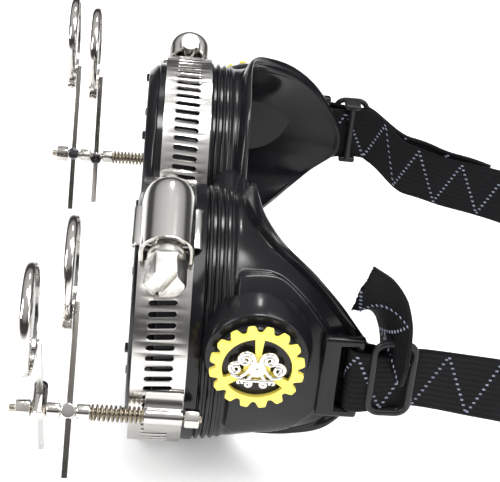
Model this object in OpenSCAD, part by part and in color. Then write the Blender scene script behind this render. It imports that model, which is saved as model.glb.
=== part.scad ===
// Steampunk goggles with two double-lens loupes on worm-drive hose clamps.
// X is across the face (+X is the wearer's left), the lenses face -Y, Z is up.
// The origin is midway between the cups, in the middle of the clamps' seats, on the table.

/* [Cups] */
// Distance between the two lens axes
cup_pitch = 69; // [64:0.5:78]
// Turn of each cup in plan, so that the temples spread and the lenses turn in
cup_toe = 0; // [0:0.5:6]
// Outer radius of the barrel where the clamp grips it
seat_r = 29.9; // [27:0.1:33]
// Outer radius of the smooth barrel behind the ribs
barrel_r = 28.5; // [25.5:0.1:29.5]
// Length of the seat that the clamp grips
seat_len = 10; // [8:0.5:13]
// Wall thickness of the soft moulding
wall = 2.2; // [1.6:0.1:3]
// Where the smooth barrel ends and the skirt begins, behind the seat's middle
barrel_end = 13.5; // [12:0.5:22]
// Number of ribs between band and smooth barrel
rib_count = 2; // [1:1:3]
// How far the skirt reaches back at the temple
temple_reach = 37; // [33:0.5:48]
// How far the skirt reaches back at the brow
brow_reach = 19; // [16:0.5:26]
// How far the skirt reaches back at the cheek
cheek_reach = 16; // [15:0.5:26]
// Outer radius of the skirt's edge at the temple
temple_r = 27.4; // [24:0.1:30]
// How much further out the skirt's edge stands at the brow
brow_flare = 4.5; // [0:0.5:7]
// How much further out the skirt's edge stands at the cheek
cheek_flare = 1; // [0:0.5:2.5]

/* [Front ring and lens] */
// Outer radius of the screw-on front ring
ring_r = 28.6; // [26:0.1:29.4]
// Radius of the ring's front face
ring_front_r = 26; // [25.2:0.1:27]
// Length of the front ring
ring_len = 5.4; // [4.8:0.1:8]
// Radius of the window in the front ring
window_r = 23; // [20:0.1:23.6]
// Radius of the main lens
lens_r = 24.4; // [24:0.1:24.7]
// Thickness of the main lens
lens_t = 1.2; // [1:0.1:2]
// Thickness of the gasket behind the lens
gasket_t = 0.5; // [0.4:0.1:1]
// Number of grip lugs on the ring's cone
grip_count = 6; // [4:1:12]

/* [Clamp] */
// Width of the clamp band
band_w = 12; // [9:0.1:14]
// How far the left clamp is pushed forward over its front ring
clamp_front_left = 3.5; // [0:0.1:4]
// How far the right clamp is pushed forward over its front ring
clamp_front_right = 0; // [0:0.1:4]
// Thickness of the clamp band
band_t = 0.7; // [0.5:0.05:1]
// Length of one perforation across the band
slot_len = 6.2; // [4:0.1:7]
// Width of one perforation along the band
slot_w = 1.15; // [0.8:0.05:1.4]
// Number of perforations in a full turn
slot_turn = 78; // [60:1:84]
// Lean of the perforations against the band's cross direction
slot_lean = 4; // [0:1:8]
// Outer width of the screw housing
housing_w = 11.8; // [11.4:0.1:13]
// Length of the screw housing along the band
housing_len = 19; // [16:0.5:22]
// Sheet thickness of the housing
housing_t = 0.9; // [0.6:0.1:1.2]
// Height of the screw's axis above the band
screw_h = 4; // [3.9:0.05:4.4]
// Radius of the worm
worm_r = 3.6; // [3:0.1:3.8]
// Radius of the collar under the hexagon head
collar_r = 4.2; // [3.9:0.1:4.4]
// Length of that collar
collar_len = 2.6; // [2:0.1:4]
// Across flats of the hexagon head
hex_af = 8; // [7:0.1:8.4]
// Length of the hexagon head
hex_len = 6.2; // [4:0.1:7]
// Turn of the housing on the left cup, up from straight out
housing_turn_left = 68; // [50:1:100]
// Turn of the housing on the right cup, up from straight out
housing_turn_right = 35; // [30:1:100]

/* [Loupe] */
// Radius of the loupe axle
axle_r = 1; // [0.8:0.05:1.3]
// Distance of the axle from the cup's axis
axle_out = 33.6; // [33.2:0.1:36]
// Turn of the left loupe's axle round the cup, up from straight out
axle_turn_left = -11; // [-16:1:8]
// Turn of the right loupe's axle round the cup, up from straight out
axle_turn_right = -24; // [-40:1:-10]
// How far the left bracket sits in front of the cup's seat
loupe_front_left = 1.8; // [0:0.1:5]
// How far the right bracket sits in front of the cup's seat
loupe_front_right = 4; // [0:0.1:5]
// Width of the bracket along the axle
bracket_w = 8.4; // [6:0.1:11]
// Sheet thickness of the bracket
bracket_t = 0.85; // [0.6:0.05:1.2]
// Length of the coil spring at rest
spring_len = 11.6; // [9:0.1:16]
// Outer radius of the coil spring
spring_r = 1.9; // [1.8:0.05:2.4]
// Number of coils in the spring
coils = 12; // [8:1:14]
// Wire thickness of the spring
wire_d = 0.5; // [0.4:0.05:0.6]
// Length of each spacer
spacer_len = 3; // [2:0.1:5]
// Outer radius of the spacers and of the cross blocks
block_r = 1.7; // [1.5:0.05:2.2]
// Length of a cross block
block_len = 7; // [6:0.1:10]
// Distance from axle to rod in a cross block
rod_gap = 3.6; // [3:0.1:5]
// Side of the square rods
rod_w = 1.3; // [1:0.05:1.6]
// Across flats of the hexagon nuts
nut_af = 3.8; // [3.4:0.1:5]
// Thickness of the hexagon nuts
nut_t = 3.2; // [1.6:0.1:4]
// Free end of the axle in front of its nut
stub_len = 1.4; // [0.5:0.1:4]
// Radius of that free end
stub_r = 0.75; // [0.5:0.05:0.8]
// Outer radius of the loupe rims
rim_r = 12; // [10:0.1:14]
// Width of the loupe rims along the view
rim_w = 2.4; // [1.8:0.1:3]
// Radial thickness of the loupe rims
rim_t = 1.1; // [0.8:0.05:1.6]
// Centre thickness of the loupe lenses
loupe_lens_t = 1.8; // [1.2:0.1:2.2]

/* [Loupe poses] */
// Height of the left inner lens above its rod's crossing
inner_up_left = 32; // [20:0.5:34]
// Height of the left outer lens above its rod's crossing
outer_up_left = 28; // [20:0.5:34]
// Height of the right inner lens above its rod's crossing
inner_up_right = 31; // [20:0.5:34]
// Height of the right outer lens above its rod's crossing
outer_up_right = 33; // [20:0.5:34]
// Length of the left inner rod below the crossing
inner_down_left = 14.5; // [8:0.5:20]
// Length of the left outer rod below the crossing
outer_down_left = 21.5; // [8:0.5:22.5]
// Length of the right inner rod below the crossing
inner_down_right = 13; // [8:0.5:20]
// Length of the right outer rod below the crossing
outer_down_right = 16; // [8:0.5:20]
// Lean of the left inner rod towards the nose
inner_lean_left = 40; // [-60:1:60]
// Lean of the left outer rod towards the nose
outer_lean_left = -20; // [-60:1:60]
// Lean of the right inner rod towards the nose
inner_lean_right = -20; // [-60:1:60]
// Lean of the right outer rod towards the nose
outer_lean_right = -30; // [-60:1:60]

/* [Gear] */
// Radius over the gear's teeth
gear_r = 10.3; // [9:0.1:11]
// Thickness of the gear
gear_t = 1.2; // [0.8:0.1:2]
// Number of gear teeth
teeth = 16; // [12:1:20]
// Distance of the gear's centre behind the seat's middle
gear_back = 17.4; // [17:0.1:24]
// Height of the gear's centre above the cup's axis
gear_up = 8.5; // [4:0.5:10]
// Radius of the black boss under the gear
boss_r = 9.4; // [7:0.1:10]
// Height of the black boss
boss_h = 2.4; // [1.5:0.1:4]

/* [Strap] */
// Width of the elastic strap
strap_w = 16; // [12:0.5:18]
// Thickness of the elastic strap
strap_t = 1.1; // [0.8:0.1:1.4]
// How far the strap's loop reaches back behind its tabs
strap_reach = 112; // [90:1:140]
// Length of the slider along the strap
slider_len = 9.6; // [8:0.1:12]
// Width of the slider's bars
bar_w = 1.8; // [1.2:0.1:2.4]
// Distance from the tab's bar to the slider
slider_back = 2.6; // [2.4:0.1:12]
// Length of the left strap tail, which turns up and forward
tail_len_left = 34; // [20:1:36]
// Length of the right strap tail, which lies along the strap
tail_len_right = 38; // [12:1:40]

/* [Hidden] */
$fn = 96;
// Clearance of a running fit, of parts that lie on each other, and of moving faces
run_gap = 0.05;
lay_gap = 0.05;
free_gap = 0.3;
tiny = 0.01;

band_in = seat_r + lay_gap;
band_out = band_in + band_t;
rest_z = band_out;
half_band = band_w / 2;

seat_front = seat_len / 2;
ring_back = seat_front + 0.1;
ring_tip = ring_back + ring_len;
lip_t = 1;
grip_h = 0.7;
grip_r = 1.1;
lens_front = ring_tip - lip_t - lay_gap;
gasket_front = lens_front - lens_t - lay_gap;
spigot_front = gasket_front - gasket_t - lay_gap;
spigot_r = lens_r + 1.9;
bore_r = lens_r - 1.4;

rib_pitch = 1.7;
rib_w = 1;
rib_r = (seat_r + barrel_r) / 2 + 0.2;
ribs_from = seat_front + 0.2;

saddle_r = band_out + lay_gap;
screw_r = band_out + screw_h;
housing_in = housing_w / 2 - housing_t;
plate_t = 1.4;
journal_r = 2.4;
wing_t = 0.8;
wing_w = band_w + 2 * (wing_t + lay_gap) + 0.6;
wing_len = 10.7;

knuckle_r = axle_r + run_gap + bracket_t;
half_bracket = bracket_w / 2;
spring_front = half_bracket + lay_gap + spring_len;
spacer_in_front = spring_front + lay_gap + spacer_len;
inner_y = spacer_in_front + lay_gap + block_r;
spacer_out_back = inner_y + block_r + lay_gap;
spacer_out_front = spacer_out_back + spacer_len;
outer_y = spacer_out_front + lay_gap + block_r;
nut_back = outer_y + block_r + lay_gap;
nut_front = nut_back + nut_t;
axle_front = nut_front + stub_len;
rear_nut = half_bracket + lay_gap + 0.4;
axle_rear = rear_nut + nut_t + 0.6;
cap_len = 1.6;
rim_ahead = 1.9;
// Loupe poses in the order inner left, outer left, inner right, outer right
lens_up = [inner_up_left, outer_up_left, inner_up_right, outer_up_right];
rod_down = [inner_down_left, outer_down_left, inner_down_right, outer_down_right];
rod_lean = [inner_lean_left, outer_lean_left, inner_lean_right, outer_lean_right];

pad_r = boss_r + 1.6;
pad_out = seat_r + 0.4;
boss_out = pad_out + boss_h;
pin_r = 1.1;
filigree_t = 0.9;

tab_w = 2.6;
tab_back = temple_reach + 4.2;
tab_front = temple_reach - 5;
tab_slot = strap_t * 2 + 1;
tab_bar = 2;
tab_high = strap_w + 5;
tab_x = temple_r - 1.2;
tab_z = 2.5;
edge_n = 48;
edge_k = 7;
skirt_from = barrel_end - 0.6;
skirt_curve = 1.6;

function smooth(t) = let (c = min(1, max(0, t))) c * c * (3 - 2 * c);
function mix(a, b, t) = a + (b - a) * t;
function turn_of(side) = side > 0 ? axle_turn_left : axle_turn_right;
function housing_turn(side) = side > 0 ? housing_turn_left : housing_turn_right;
function clamp_front(side) = side > 0 ? clamp_front_left : clamp_front_right;
function loupe_front(side) = side > 0 ? loupe_front_left : loupe_front_right;
function pick(list, side, k) = list[(side > 0 ? 0 : 2) + k];

// A cup's own frame: X out to the temple, Y to the rear, Z up, zero at the cup's axis
module on_cup(side) {
  mirror([side < 0 ? 1 : 0, 0, 0]) translate([cup_pitch / 2, 0, rest_z])
    rotate([0, 0, -cup_toe]) children();
}

// The same frame at a clamp, with zero in the middle of its band
module on_clamp(side) {
  on_cup(side) translate([0, -clamp_front(side), 0]) children();
}

// Turns that frame round the cup's axis, so that X points away from the axis
module round_cup(turn) {
  rotate([0, -turn, 0]) children();
}

// A cylinder along Y from y0 to y1
module rod_y(r, y0, y1) {
  translate([0, y0, 0]) rotate([-90, 0, 0]) cylinder(h = y1 - y0, r = r);
}

// A ring along Y from y0 to y1
module ring_y(r_in, r_out, y0, y1) {
  difference() {
    rod_y(r_out, y0, y1);
    rod_y(r_in, y0 - 1, y1 + 1);
  }
}

// Edge of the skirt: how far back and how far out it lies at an angle round the cup
function face_y(a) = mix(cheek_reach, brow_reach, (1 + sin(a)) / 2);
function edge_fall(a) = 3 - (sin(a) < 0 ? 5 : 1.2) * sin(a);
function edge_y(a) = face_y(a) + (temple_reach - face_y(a)) * pow(max(0, cos(a)), edge_fall(a));
function edge_r(a) =
  temple_r + brow_flare * pow(max(0, sin(a)), 2) + cheek_flare * pow(max(0, -sin(a)), 2);

// Points of the skirt, ring by ring from the barrel to the edge, then one point behind it
function skirt_points(inset, over, behind) = concat(
  [for (k = [0:edge_k - 1]) for (i = [0:edge_n - 1])
    let (a = i * 360 / edge_n, t = k / (edge_k - 1),
      r = mix(barrel_r - 0.1, edge_r(a), pow(t, skirt_curve)) - inset,
      y = mix(skirt_from - over, edge_y(a) + over, t))
    [r * cos(a), y, r * sin(a)]],
  [[0, skirt_from - over, 0], [0, behind, 0]]);

function skirt_faces() = concat(
  [for (k = [0:edge_k - 2]) for (i = [0:edge_n - 1]) for (h = [0, 1])
    let (j = (i + 1) % edge_n, p = k * edge_n, q = p + edge_n)
    h == 0 ? [p + i, q + j, q + i] : [p + i, p + j, q + j]],
  [for (i = [0:edge_n - 1]) [edge_k * edge_n, (i + 1) % edge_n, i]],
  [for (i = [0:edge_n - 1])
    let (q = (edge_k - 1) * edge_n) [edge_k * edge_n + 1, q + i, q + (i + 1) % edge_n]]);

module skirt(inset, over, behind) {
  polyhedron(points = skirt_points(inset, over, behind), faces = skirt_faces());
}

module barrel() {
  rod_y(spigot_r, -spigot_front, -seat_front + 1);
  rod_y(seat_r, -seat_front, seat_front);
  rod_y(barrel_r, 0, barrel_end);
  for (i = [1:rib_count])
    rod_y(rib_r, ribs_from + i * rib_pitch - rib_w, ribs_from + i * rib_pitch);
}

module side_pad() {
  translate([pad_out - 9, gear_back, gear_up]) rotate([0, 90, 0]) cylinder(h = 9, r = pad_r);
}

module temple_tab() {
  difference() {
    translate([tab_x - tab_w / 2, tab_front, tab_z - tab_high / 2])
      cube([tab_w, tab_back - tab_front, tab_high]);
    translate([tab_x - tab_w, tab_back - tab_bar - tab_slot, tab_z - strap_w / 2 - 0.4])
      cube([tab_w * 2, tab_slot, strap_w + 0.8]);
  }
}

bridge_h = 8;
bridge_z = 9;
bridge_y = 6.5;
module nose_bridge() {
  gap = cup_pitch - 2 * barrel_r;
  difference() {
    translate([-gap / 2 - 5, barrel_end - bridge_y, rest_z + bridge_z - bridge_h / 2 - 3])
      cube([gap + 10, bridge_y + 1, bridge_h + 3]);
    translate([0, 0, rest_z + bridge_z - bridge_h]) rod_y(gap / 2, 0, barrel_end + 5);
  }
}

module goggle_body() {
  color([0.05, 0.05, 0.06])
  difference() {
    union() {
      for (side = [-1, 1]) on_cup(side) {
        barrel();
        skirt(0, 0, cheek_reach);
        side_pad();
        temple_tab();
      }
      nose_bridge();
    }
    for (side = [-1, 1]) on_cup(side) {
      rod_y(bore_r, -spigot_front - 1, 0);
      rod_y(barrel_r - wall, -seat_front + 2, barrel_end);
      skirt(wall, 0.8, temple_reach + 6);
    }
  }
}

module lens_ring(side) {
  color([0.06, 0.06, 0.07])
  on_cup(side) difference() {
    union() {
      rotate([90, 0, 0]) rotate_extrude() polygon([
        [window_r, ring_back], [ring_r, ring_back], [ring_r, ring_back + ring_len * 0.45],
        [ring_front_r, ring_tip], [window_r, ring_tip]]);
      for (i = [0:grip_count - 1]) rotate([0, i * 360 / grip_count + 12, 0])
        translate([(ring_front_r + window_r) / 2, -ring_tip + lip_t / 2, 0])
          rotate([90, 0, 0]) cylinder(h = lip_t / 2 + grip_h, r = grip_r, $fn = 24);
    }
    rod_y(lens_r + lay_gap, -ring_tip + lip_t, -ring_back + 1);
    rod_y(spigot_r + run_gap, -spigot_front - gasket_t, -ring_back + 1);
  }
}

module main_lens(side) {
  color([0.8, 0.9, 0.95, 0.35]) on_cup(side) rod_y(lens_r, -lens_front, -lens_front + lens_t);
}

module lens_gasket(side) {
  color([0.1, 0.1, 0.1]) on_cup(side)
    ring_y(bore_r, lens_r, -gasket_front, -gasket_front + gasket_t);
}

module clamp_band(side) {
  color([0.75, 0.75, 0.76])
  on_clamp(side) difference() {
    ring_y(band_in, band_out, -half_band, half_band);
    for (i = [0:slot_turn - 1])
      round_cup(housing_turn(side) + i * 360 / slot_turn)
        translate([band_in, 0, 0]) rotate([slot_lean, 0, 0])
          cube([4 * band_t, slot_len, slot_w], center = true);
  }
}

// Arch of the housing along Z, with a rounded far end
module housing_arch(half_w, ball_r, from, end) {
  intersection() {
    union() {
      translate([screw_r, 0, from]) cylinder(h = end - from, r = half_w);
      translate([band_in - 1, -half_w, from]) cube([screw_r - band_in + 1, 2 * half_w, end - from]);
    }
    union() {
      translate([screw_r - 1.5, 0, end - ball_r]) sphere(r = ball_r);
      translate([0, -housing_w, from - 1]) cube([60, 2 * housing_w, end - ball_r - from + 1]);
    }
  }
}

module clamp_housing(side) {
  half = housing_len / 2;
  dome = housing_w * 0.8;
  color([0.7, 0.7, 0.71])
  on_clamp(side) round_cup(housing_turn(side)) difference() {
    union() {
      housing_arch(housing_w / 2, dome, -half, half);
      intersection() {
        union() {
          ring_y(band_in, saddle_r + wing_t, -wing_w / 2, -half_band - lay_gap);
          ring_y(band_in, saddle_r + wing_t, half_band + lay_gap, wing_w / 2);
          ring_y(saddle_r, saddle_r + wing_t, -wing_w / 2, wing_w / 2);
        }
        translate([0, -wing_w, -wing_len / 2]) cube([60, 2 * wing_w, wing_len]);
      }
    }
    housing_arch(housing_in, dome - housing_t, -half + plate_t, half - housing_t);
    translate([screw_r, 0, -half - 1]) cylinder(h = housing_len + 2, r = journal_r + run_gap);
    intersection() {
      rod_y(saddle_r, -half_band - lay_gap, half_band + lay_gap);
      translate([0, -housing_w, -housing_len]) cube([60, 2 * housing_w, 2 * housing_len]);
    }
  }
}

module worm_screw(side) {
  half = housing_len / 2;
  worm_from = -half + plate_t + 0.3;
  worm_end = half - housing_t - 2.6;
  thread = PI * 2 * band_out / slot_turn;
  color([0.72, 0.72, 0.73])
  on_clamp(side) round_cup(housing_turn(side)) translate([screw_r, 0, 0]) difference() {
    union() {
      translate([0, 0, -half - lay_gap - collar_len]) cylinder(h = collar_len, r = collar_r);
      translate([0, 0, -half - lay_gap - collar_len - hex_len])
        cylinder(h = hex_len, r = hex_af / 2 / cos(30), $fn = 6);
      translate([0, 0, -half - lay_gap - tiny]) cylinder(h = housing_len + lay_gap, r = journal_r);
      translate([0, 0, worm_from]) cylinder(h = worm_end - worm_from, r = worm_r - 0.8);
      for (i = [0:floor((worm_end - worm_from) / thread) - 1])
        translate([0, 0, worm_from + (i + 0.3) * thread]) cylinder(h = thread * 0.4, r = worm_r);
    }
    translate([0, 0, -half - collar_len - hex_len])
      cube([hex_af * 2, 1.2, 2.4], center = true);
  }
}

module loupe_bracket(side) {
  leaf_up = 9;
  leaf_down = 17;
  web = axle_r + bracket_t;
  color([0.6, 0.6, 0.62])
  on_cup(side) translate([0, -loupe_front(side), 0]) round_cup(turn_of(side)) rotate([90, 0, 0])
    linear_extrude(height = bracket_w, center = true) difference() {
      union() {
        intersection() {
          difference() {
            circle(r = saddle_r + bracket_t);
            circle(r = saddle_r);
          }
          polygon([[0, 0], [60, 60 * tan(leaf_up)], [60, -60 * tan(leaf_down)]]);
        }
        translate([axle_out, 0]) circle(r = knuckle_r);
        translate([saddle_r + 0.15, -web]) square([axle_out - saddle_r - 0.15, 2 * web]);
      }
      translate([axle_out, 0]) circle(r = axle_r + run_gap);
    }
}

// Frame on the loupe's axle: Y along the axle, to the rear
module on_axle(side) {
  on_cup(side) round_cup(turn_of(side)) translate([axle_out, -loupe_front(side), 0]) children();
}

module loupe_axle(side) {
  color([0.6, 0.58, 0.52]) on_axle(side) {
    rod_y(axle_r, -nut_front, axle_rear);
    rod_y(stub_r, -axle_front, -nut_front + 1);
  }
}

module nut(y0) {
  difference() {
    translate([0, y0, 0]) rotate([-90, 0, 0])
      cylinder(h = nut_t, r = nut_af / 2 / cos(30), $fn = 6);
    rod_y(axle_r + 0.02, y0 - 1, y0 + nut_t + 1);
  }
}

module axle_nuts(side) {
  color([0.72, 0.72, 0.73]) on_axle(side) {
    nut(-nut_back - nut_t);
    nut(rear_nut);
  }
}

module spacers(side) {
  color([0.7, 0.7, 0.72]) on_axle(side) {
    ring_y(axle_r + 0.02, block_r, -spacer_in_front, -spring_front - lay_gap);
    ring_y(axle_r + 0.02, block_r, -spacer_out_front, -spacer_out_back);
  }
}

// Coil spring: a wire with six sides swept along its helix
coil_steps = 12;
wire_sides = 6;
coil_r = spring_r - wire_d / 2;
function coil_y(i) = -half_bracket - lay_gap - wire_d / 2
  - (spring_len - wire_d) * i / (coils * coil_steps);
function coil_points() = [
  for (i = [0:coils * coil_steps]) for (j = [0:wire_sides - 1])
    let (a = i * 360 / coil_steps, b = j * 360 / wire_sides,
      r = coil_r + wire_d / 2 * cos(b))
    [r * cos(a), coil_y(i) + wire_d / 2 * sin(b), r * sin(a)]];
function coil_faces() = let (n = coils * coil_steps) concat(
  [for (i = [0:n - 1]) for (j = [0:wire_sides - 1])
    let (k = (j + 1) % wire_sides, p = i * wire_sides, q = p + wire_sides)
    [p + j, q + j, q + k, p + k]],
  [[for (j = [0:wire_sides - 1]) j], [for (j = [wire_sides - 1:-1:0]) n * wire_sides + j]]);

module loupe_spring(side) {
  color([0.45, 0.36, 0.22]) on_axle(side)
    polyhedron(points = coil_points(), faces = coil_faces());
}

// Frame of one loupe: X from the axle through its block, Y forward, Z up its rod
module on_block(side, k) {
  turn = turn_of(side);
  along = (k == 0 ? inner_y : outer_y) + loupe_front(side);
  on_cup(side)
    translate([axle_out * cos(turn), -along, axle_out * sin(turn)])
      rotate([0, -pick(rod_lean, side, k), 0]) rotate([0, 0, 180]) children();
}

block_from = -axle_r - 0.9;
block_to = block_from + block_len;

module block(side, k) {
  color([0.72, 0.72, 0.74]) on_block(side, k) difference() {
    translate([block_from, 0, 0]) rotate([0, 90, 0]) cylinder(h = block_len, r = block_r);
    rod_y(axle_r + run_gap, -5, 5);
    translate([rod_gap, 0, 0])
      cube([rod_w + 2 * run_gap, rod_w + 2 * run_gap, 4 * block_r], center = true);
  }
}

module cap(side, k) {
  color([0.3, 0.3, 0.32]) on_block(side, k)
    translate([block_to + lay_gap, 0, 0]) rotate([0, 90, 0])
      cylinder(h = cap_len, r1 = block_r - 0.05, r2 = block_r - 0.5);
}

module loupe_rod(side, k) {
  top = pick(lens_up, side, k) - rim_r + 4.5;
  down = pick(rod_down, side, k);
  color([0.55, 0.53, 0.5]) on_block(side, k)
    translate([rod_gap - rod_w / 2, -rod_w / 2, -down]) cube([rod_w, rod_w, top + down]);
}

rim_in = rim_r - rim_t;
loupe_lens_r = rim_in + 0.4;
lens_edge = loupe_lens_t / 2;
lug_h = 2.4;
lug_w = 3.4;
lug_pin_r = 0.55;
lug_head_r = 1.05;
module at_rim(side, k) {
  on_block(side, k) translate([rod_gap, rim_ahead, pick(lens_up, side, k)]) children();
}

module loupe_rim(side, k) {
  color([0.75, 0.73, 0.7]) at_rim(side, k) difference() {
    union() {
      rotate([90, 0, 0]) rotate_extrude() intersection() {
        translate([rim_in, -rim_w / 2]) square([rim_t, rim_w]);
        translate([rim_r - 1.6, 0]) circle(r = 1.6);
      }
      translate([-lug_w / 2, -rim_w / 2, -rim_r - lug_h + 0.5]) cube([lug_w, rim_w, lug_h]);
    }
    rod_y(loupe_lens_r + lay_gap, -lens_edge / 2 - lay_gap, lens_edge / 2 + lay_gap);
    rod_y(rim_in, -rim_w, rim_w);
    translate([-0.2, -rim_w, -rim_r - lug_h]) cube([0.4, 2 * rim_w, lug_h + rim_t + 1]);
    translate([-lug_w, 0, -rim_r - lug_h / 2 + 0.2]) rotate([0, 90, 0])
      cylinder(h = 2 * lug_w, r = lug_pin_r + run_gap);
  }
}

module rim_screw(side, k) {
  color([0.8, 0.7, 0.66]) at_rim(side, k)
    translate([-lug_w / 2, 0, -rim_r - lug_h / 2 + 0.2]) rotate([0, 90, 0]) difference() {
      union() {
        cylinder(h = lug_w + 0.5, r = lug_pin_r);
        translate([0, 0, -lay_gap - 0.8]) cylinder(h = 0.8 + lay_gap, r = lug_head_r);
      }
      translate([0, 0, -0.8 - lay_gap]) cube([0.3, 4, 0.6], center = true);
    }
}

// Height of the lens's domed face over its middle plane, at a distance from its axis
function dome(r) = loupe_lens_t / 2 - (loupe_lens_t - lens_edge) / 2 * pow(r / loupe_lens_r, 2);

module loupe_lens(side, k) {
  n = 8;
  color([0.85, 0.92, 0.95, 0.35]) at_rim(side, k) rotate([90, 0, 0]) rotate_extrude()
    polygon(concat(
      [for (i = [0:n]) let (r = loupe_lens_r * i / n) [r, -dome(r)]],
      [for (i = [n:-1:0]) let (r = loupe_lens_r * i / n) [r, dome(r)]]));
}

// Frame of the temple ornament: Z out of the temple, zero at the pad's face
module on_pad(side) {
  on_cup(side) translate([pad_out, gear_back, gear_up]) rotate([90, 0, 90]) children();
}

module gear_boss(side) {
  color([0.04, 0.04, 0.04]) on_pad(side) difference() {
    translate([0, 0, lay_gap]) cylinder(h = boss_h - lay_gap, r = boss_r);
    translate([0, 0, 1]) cylinder(h = boss_h, r = pin_r + lay_gap);
  }
}

module gear(side) {
  root_r = gear_r * 0.88;
  open_r = gear_r * 0.74;
  tooth_r = PI * gear_r / teeth * 0.5;
  color([0.9, 0.72, 0.1]) on_pad(side) translate([0, 0, boss_h + lay_gap])
    linear_extrude(height = gear_t) difference() {
      union() {
        difference() {
          circle(r = root_r);
          circle(r = open_r);
        }
        for (i = [0:teeth - 1]) rotate([0, 0, i * 360 / teeth]) {
          translate([gear_r - tooth_r, 0]) circle(r = tooth_r, $fn = 24);
          translate([root_r - 0.5, -tooth_r]) square([gear_r - root_r + 0.5 - tooth_r, 2 * tooth_r]);
        }
        for (a = [90, 210, 330]) rotate([0, 0, a])
          translate([0, -0.8]) square([open_r + 0.3, 1.6]);
        circle(r = 2.6);
      }
      circle(r = pin_r + lay_gap);
    }
}

// Scrolls of the filigree: arcs of a flat ring, left and right of the middle
module scroll(x, y, r, w) {
  translate([x, y]) difference() {
    circle(r = r, $fn = 32);
    circle(r = r - w, $fn = 32);
  }
}

module filigree(side) {
  w = 0.55;
  color([0.8, 0.8, 0.8]) on_pad(side) {
    translate([0, 0, boss_h + gear_t + 2 * lay_gap]) linear_extrude(height = filigree_t) {
      for (m = [-1, 1]) {
        scroll(m * 1.7, 2.6, 1.9, w);
        scroll(m * 3.9, 0.9, 1.6, w);
        scroll(m * 2.6, -2.2, 2, w);
        scroll(m * 1.7, 2.6, 0.9, w);
        scroll(m * 2.6, -2.2, 1, w);
        translate([m * 1.4 - 0.3, -2.5]) square([0.6, 5]);
        translate([m * 2.6 - 0.3, -4]) square([0.6, 3]);
        translate([m * 1.7 - 0.3, 1.5]) square([0.6, 2.8]);
      }
      circle(r = 1.6, $fn = 32);
      translate([0, 4.3]) circle(r = 0.9, $fn = 24);
      translate([-0.35, 0]) square([0.7, 4.6]);
    }
    translate([0, 0, 1 + 0.2]) cylinder(h = boss_h + gear_t - 0.6, r = pin_r);
  }
}

// The strap's middle line: an ellipse behind the head, level at the tabs and lower at the back
bar_y = tab_back - tab_bar + 0.9;
wrap_y = bar_y * cos(cup_toe) - tab_x * sin(cup_toe);
strap_x = cup_pitch / 2 + tab_x * cos(cup_toe) + bar_y * sin(cup_toe);
strap_top = rest_z + tab_z;
strap_low = strap_w / 2 + 0.1;
slider_end = slider_back + slider_len;
layer = strap_t / 2 + 0.08;
wrap_r = tab_w / 2 + 0.25 + strap_t / 2;
function turn_at(s) = s / strap_reach * 180 / PI;
function line_z(a) = mix(strap_top, strap_low,
  smooth((min(a, 180 - a) - turn_at(slider_end)) / (52 - turn_at(slider_end))));
function line_at(a) = [strap_x * cos(a), wrap_y + strap_reach * sin(a), line_z(a)];
function out_at(a) = let (t = [-strap_x * sin(a), strap_reach * cos(a)]) [t[1], -t[0], 0] / norm(t);
function spread(s) = mix(wrap_r, layer, smooth(s / slider_end));

// Stations of half a strap from the tip of its tail, round the tab's bar, to the back:
// its middle, the way its face looks, and the way its width runs
tail_steps = 12;
wrap_steps = 6;
near_steps = 10;
back_steps = 14;
tail_bend = 118;
tail_twist = 55;
up = [0, 0, 1];
function tail_out(s) = layer + 0.5 * smooth((s - slider_end) / tail_len_right);
function flat_tail() = [for (i = [0:tail_steps])
  let (s = mix(slider_end + tail_len_right, slider_end, i / tail_steps), a = turn_at(s))
  [line_at(a) + out_at(a) * tail_out(s), out_at(a), up]];

// The raised tail bends from rearward through upward to forward, and twists as it goes
function bend_at(t) = tail_bend * smooth(t * 1.1);
function tail_way(n) = let (b = bend_at((n - 0.5) / tail_steps)) [0.12, cos(b), sin(b)];
function tail_run(n) = n == 0 ? [0, 0, 0]
  : tail_run(n - 1) + tail_way(n) * tail_len_left / tail_steps;
function raised_tail() = [for (i = [tail_steps:-1:0])
  let (t = i / tail_steps, b = bend_at(t), w = tail_twist * sin(180 * min(1, t * 1.2)),
    a = turn_at(slider_end), ahead = [0, cos(b), sin(b)], across = [0, -sin(b), cos(b)],
    width = across * cos(w) - [1, 0, 0] * sin(w))
  [line_at(a) + out_at(a) * layer + tail_run(i), cross(ahead, width), width]];

function half_strap(raised) = concat(
  raised ? raised_tail() : flat_tail(),
  [for (i = [1:near_steps - 1]) let (s = mix(slider_end, 0, i / near_steps), a = turn_at(s))
    [line_at(a) + out_at(a) * spread(s), out_at(a), up]],
  [for (i = [0:wrap_steps]) let (b = i * 180 / wrap_steps, n = [cos(b), -sin(b), 0])
    [line_at(0) + n * wrap_r, n, up]],
  [for (i = [1:near_steps - 1]) let (s = mix(0, slider_end, i / near_steps), a = turn_at(s))
    [line_at(a) - out_at(a) * spread(s), -out_at(a), up]],
  [for (i = [0:back_steps]) let (a = mix(turn_at(slider_end), 90, i / back_steps))
    [line_at(a) - out_at(a) * layer, -out_at(a), up]]);
function flip(p) = [-p[0], p[1], p[2]];
function strap_rings() = let (h = half_strap(true), m = half_strap(false), n = len(m)) concat(h,
  [for (i = [n - 2:-1:0]) [flip(m[i][0]), flip(m[i][1]), m[i][2]]]);
function ring_of(r) = let (p = r[0], d = r[1] * strap_t / 2, h = r[2] * strap_w / 2)
  [p + d - h, p + d + h, p - d + h, p - d - h];
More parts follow.
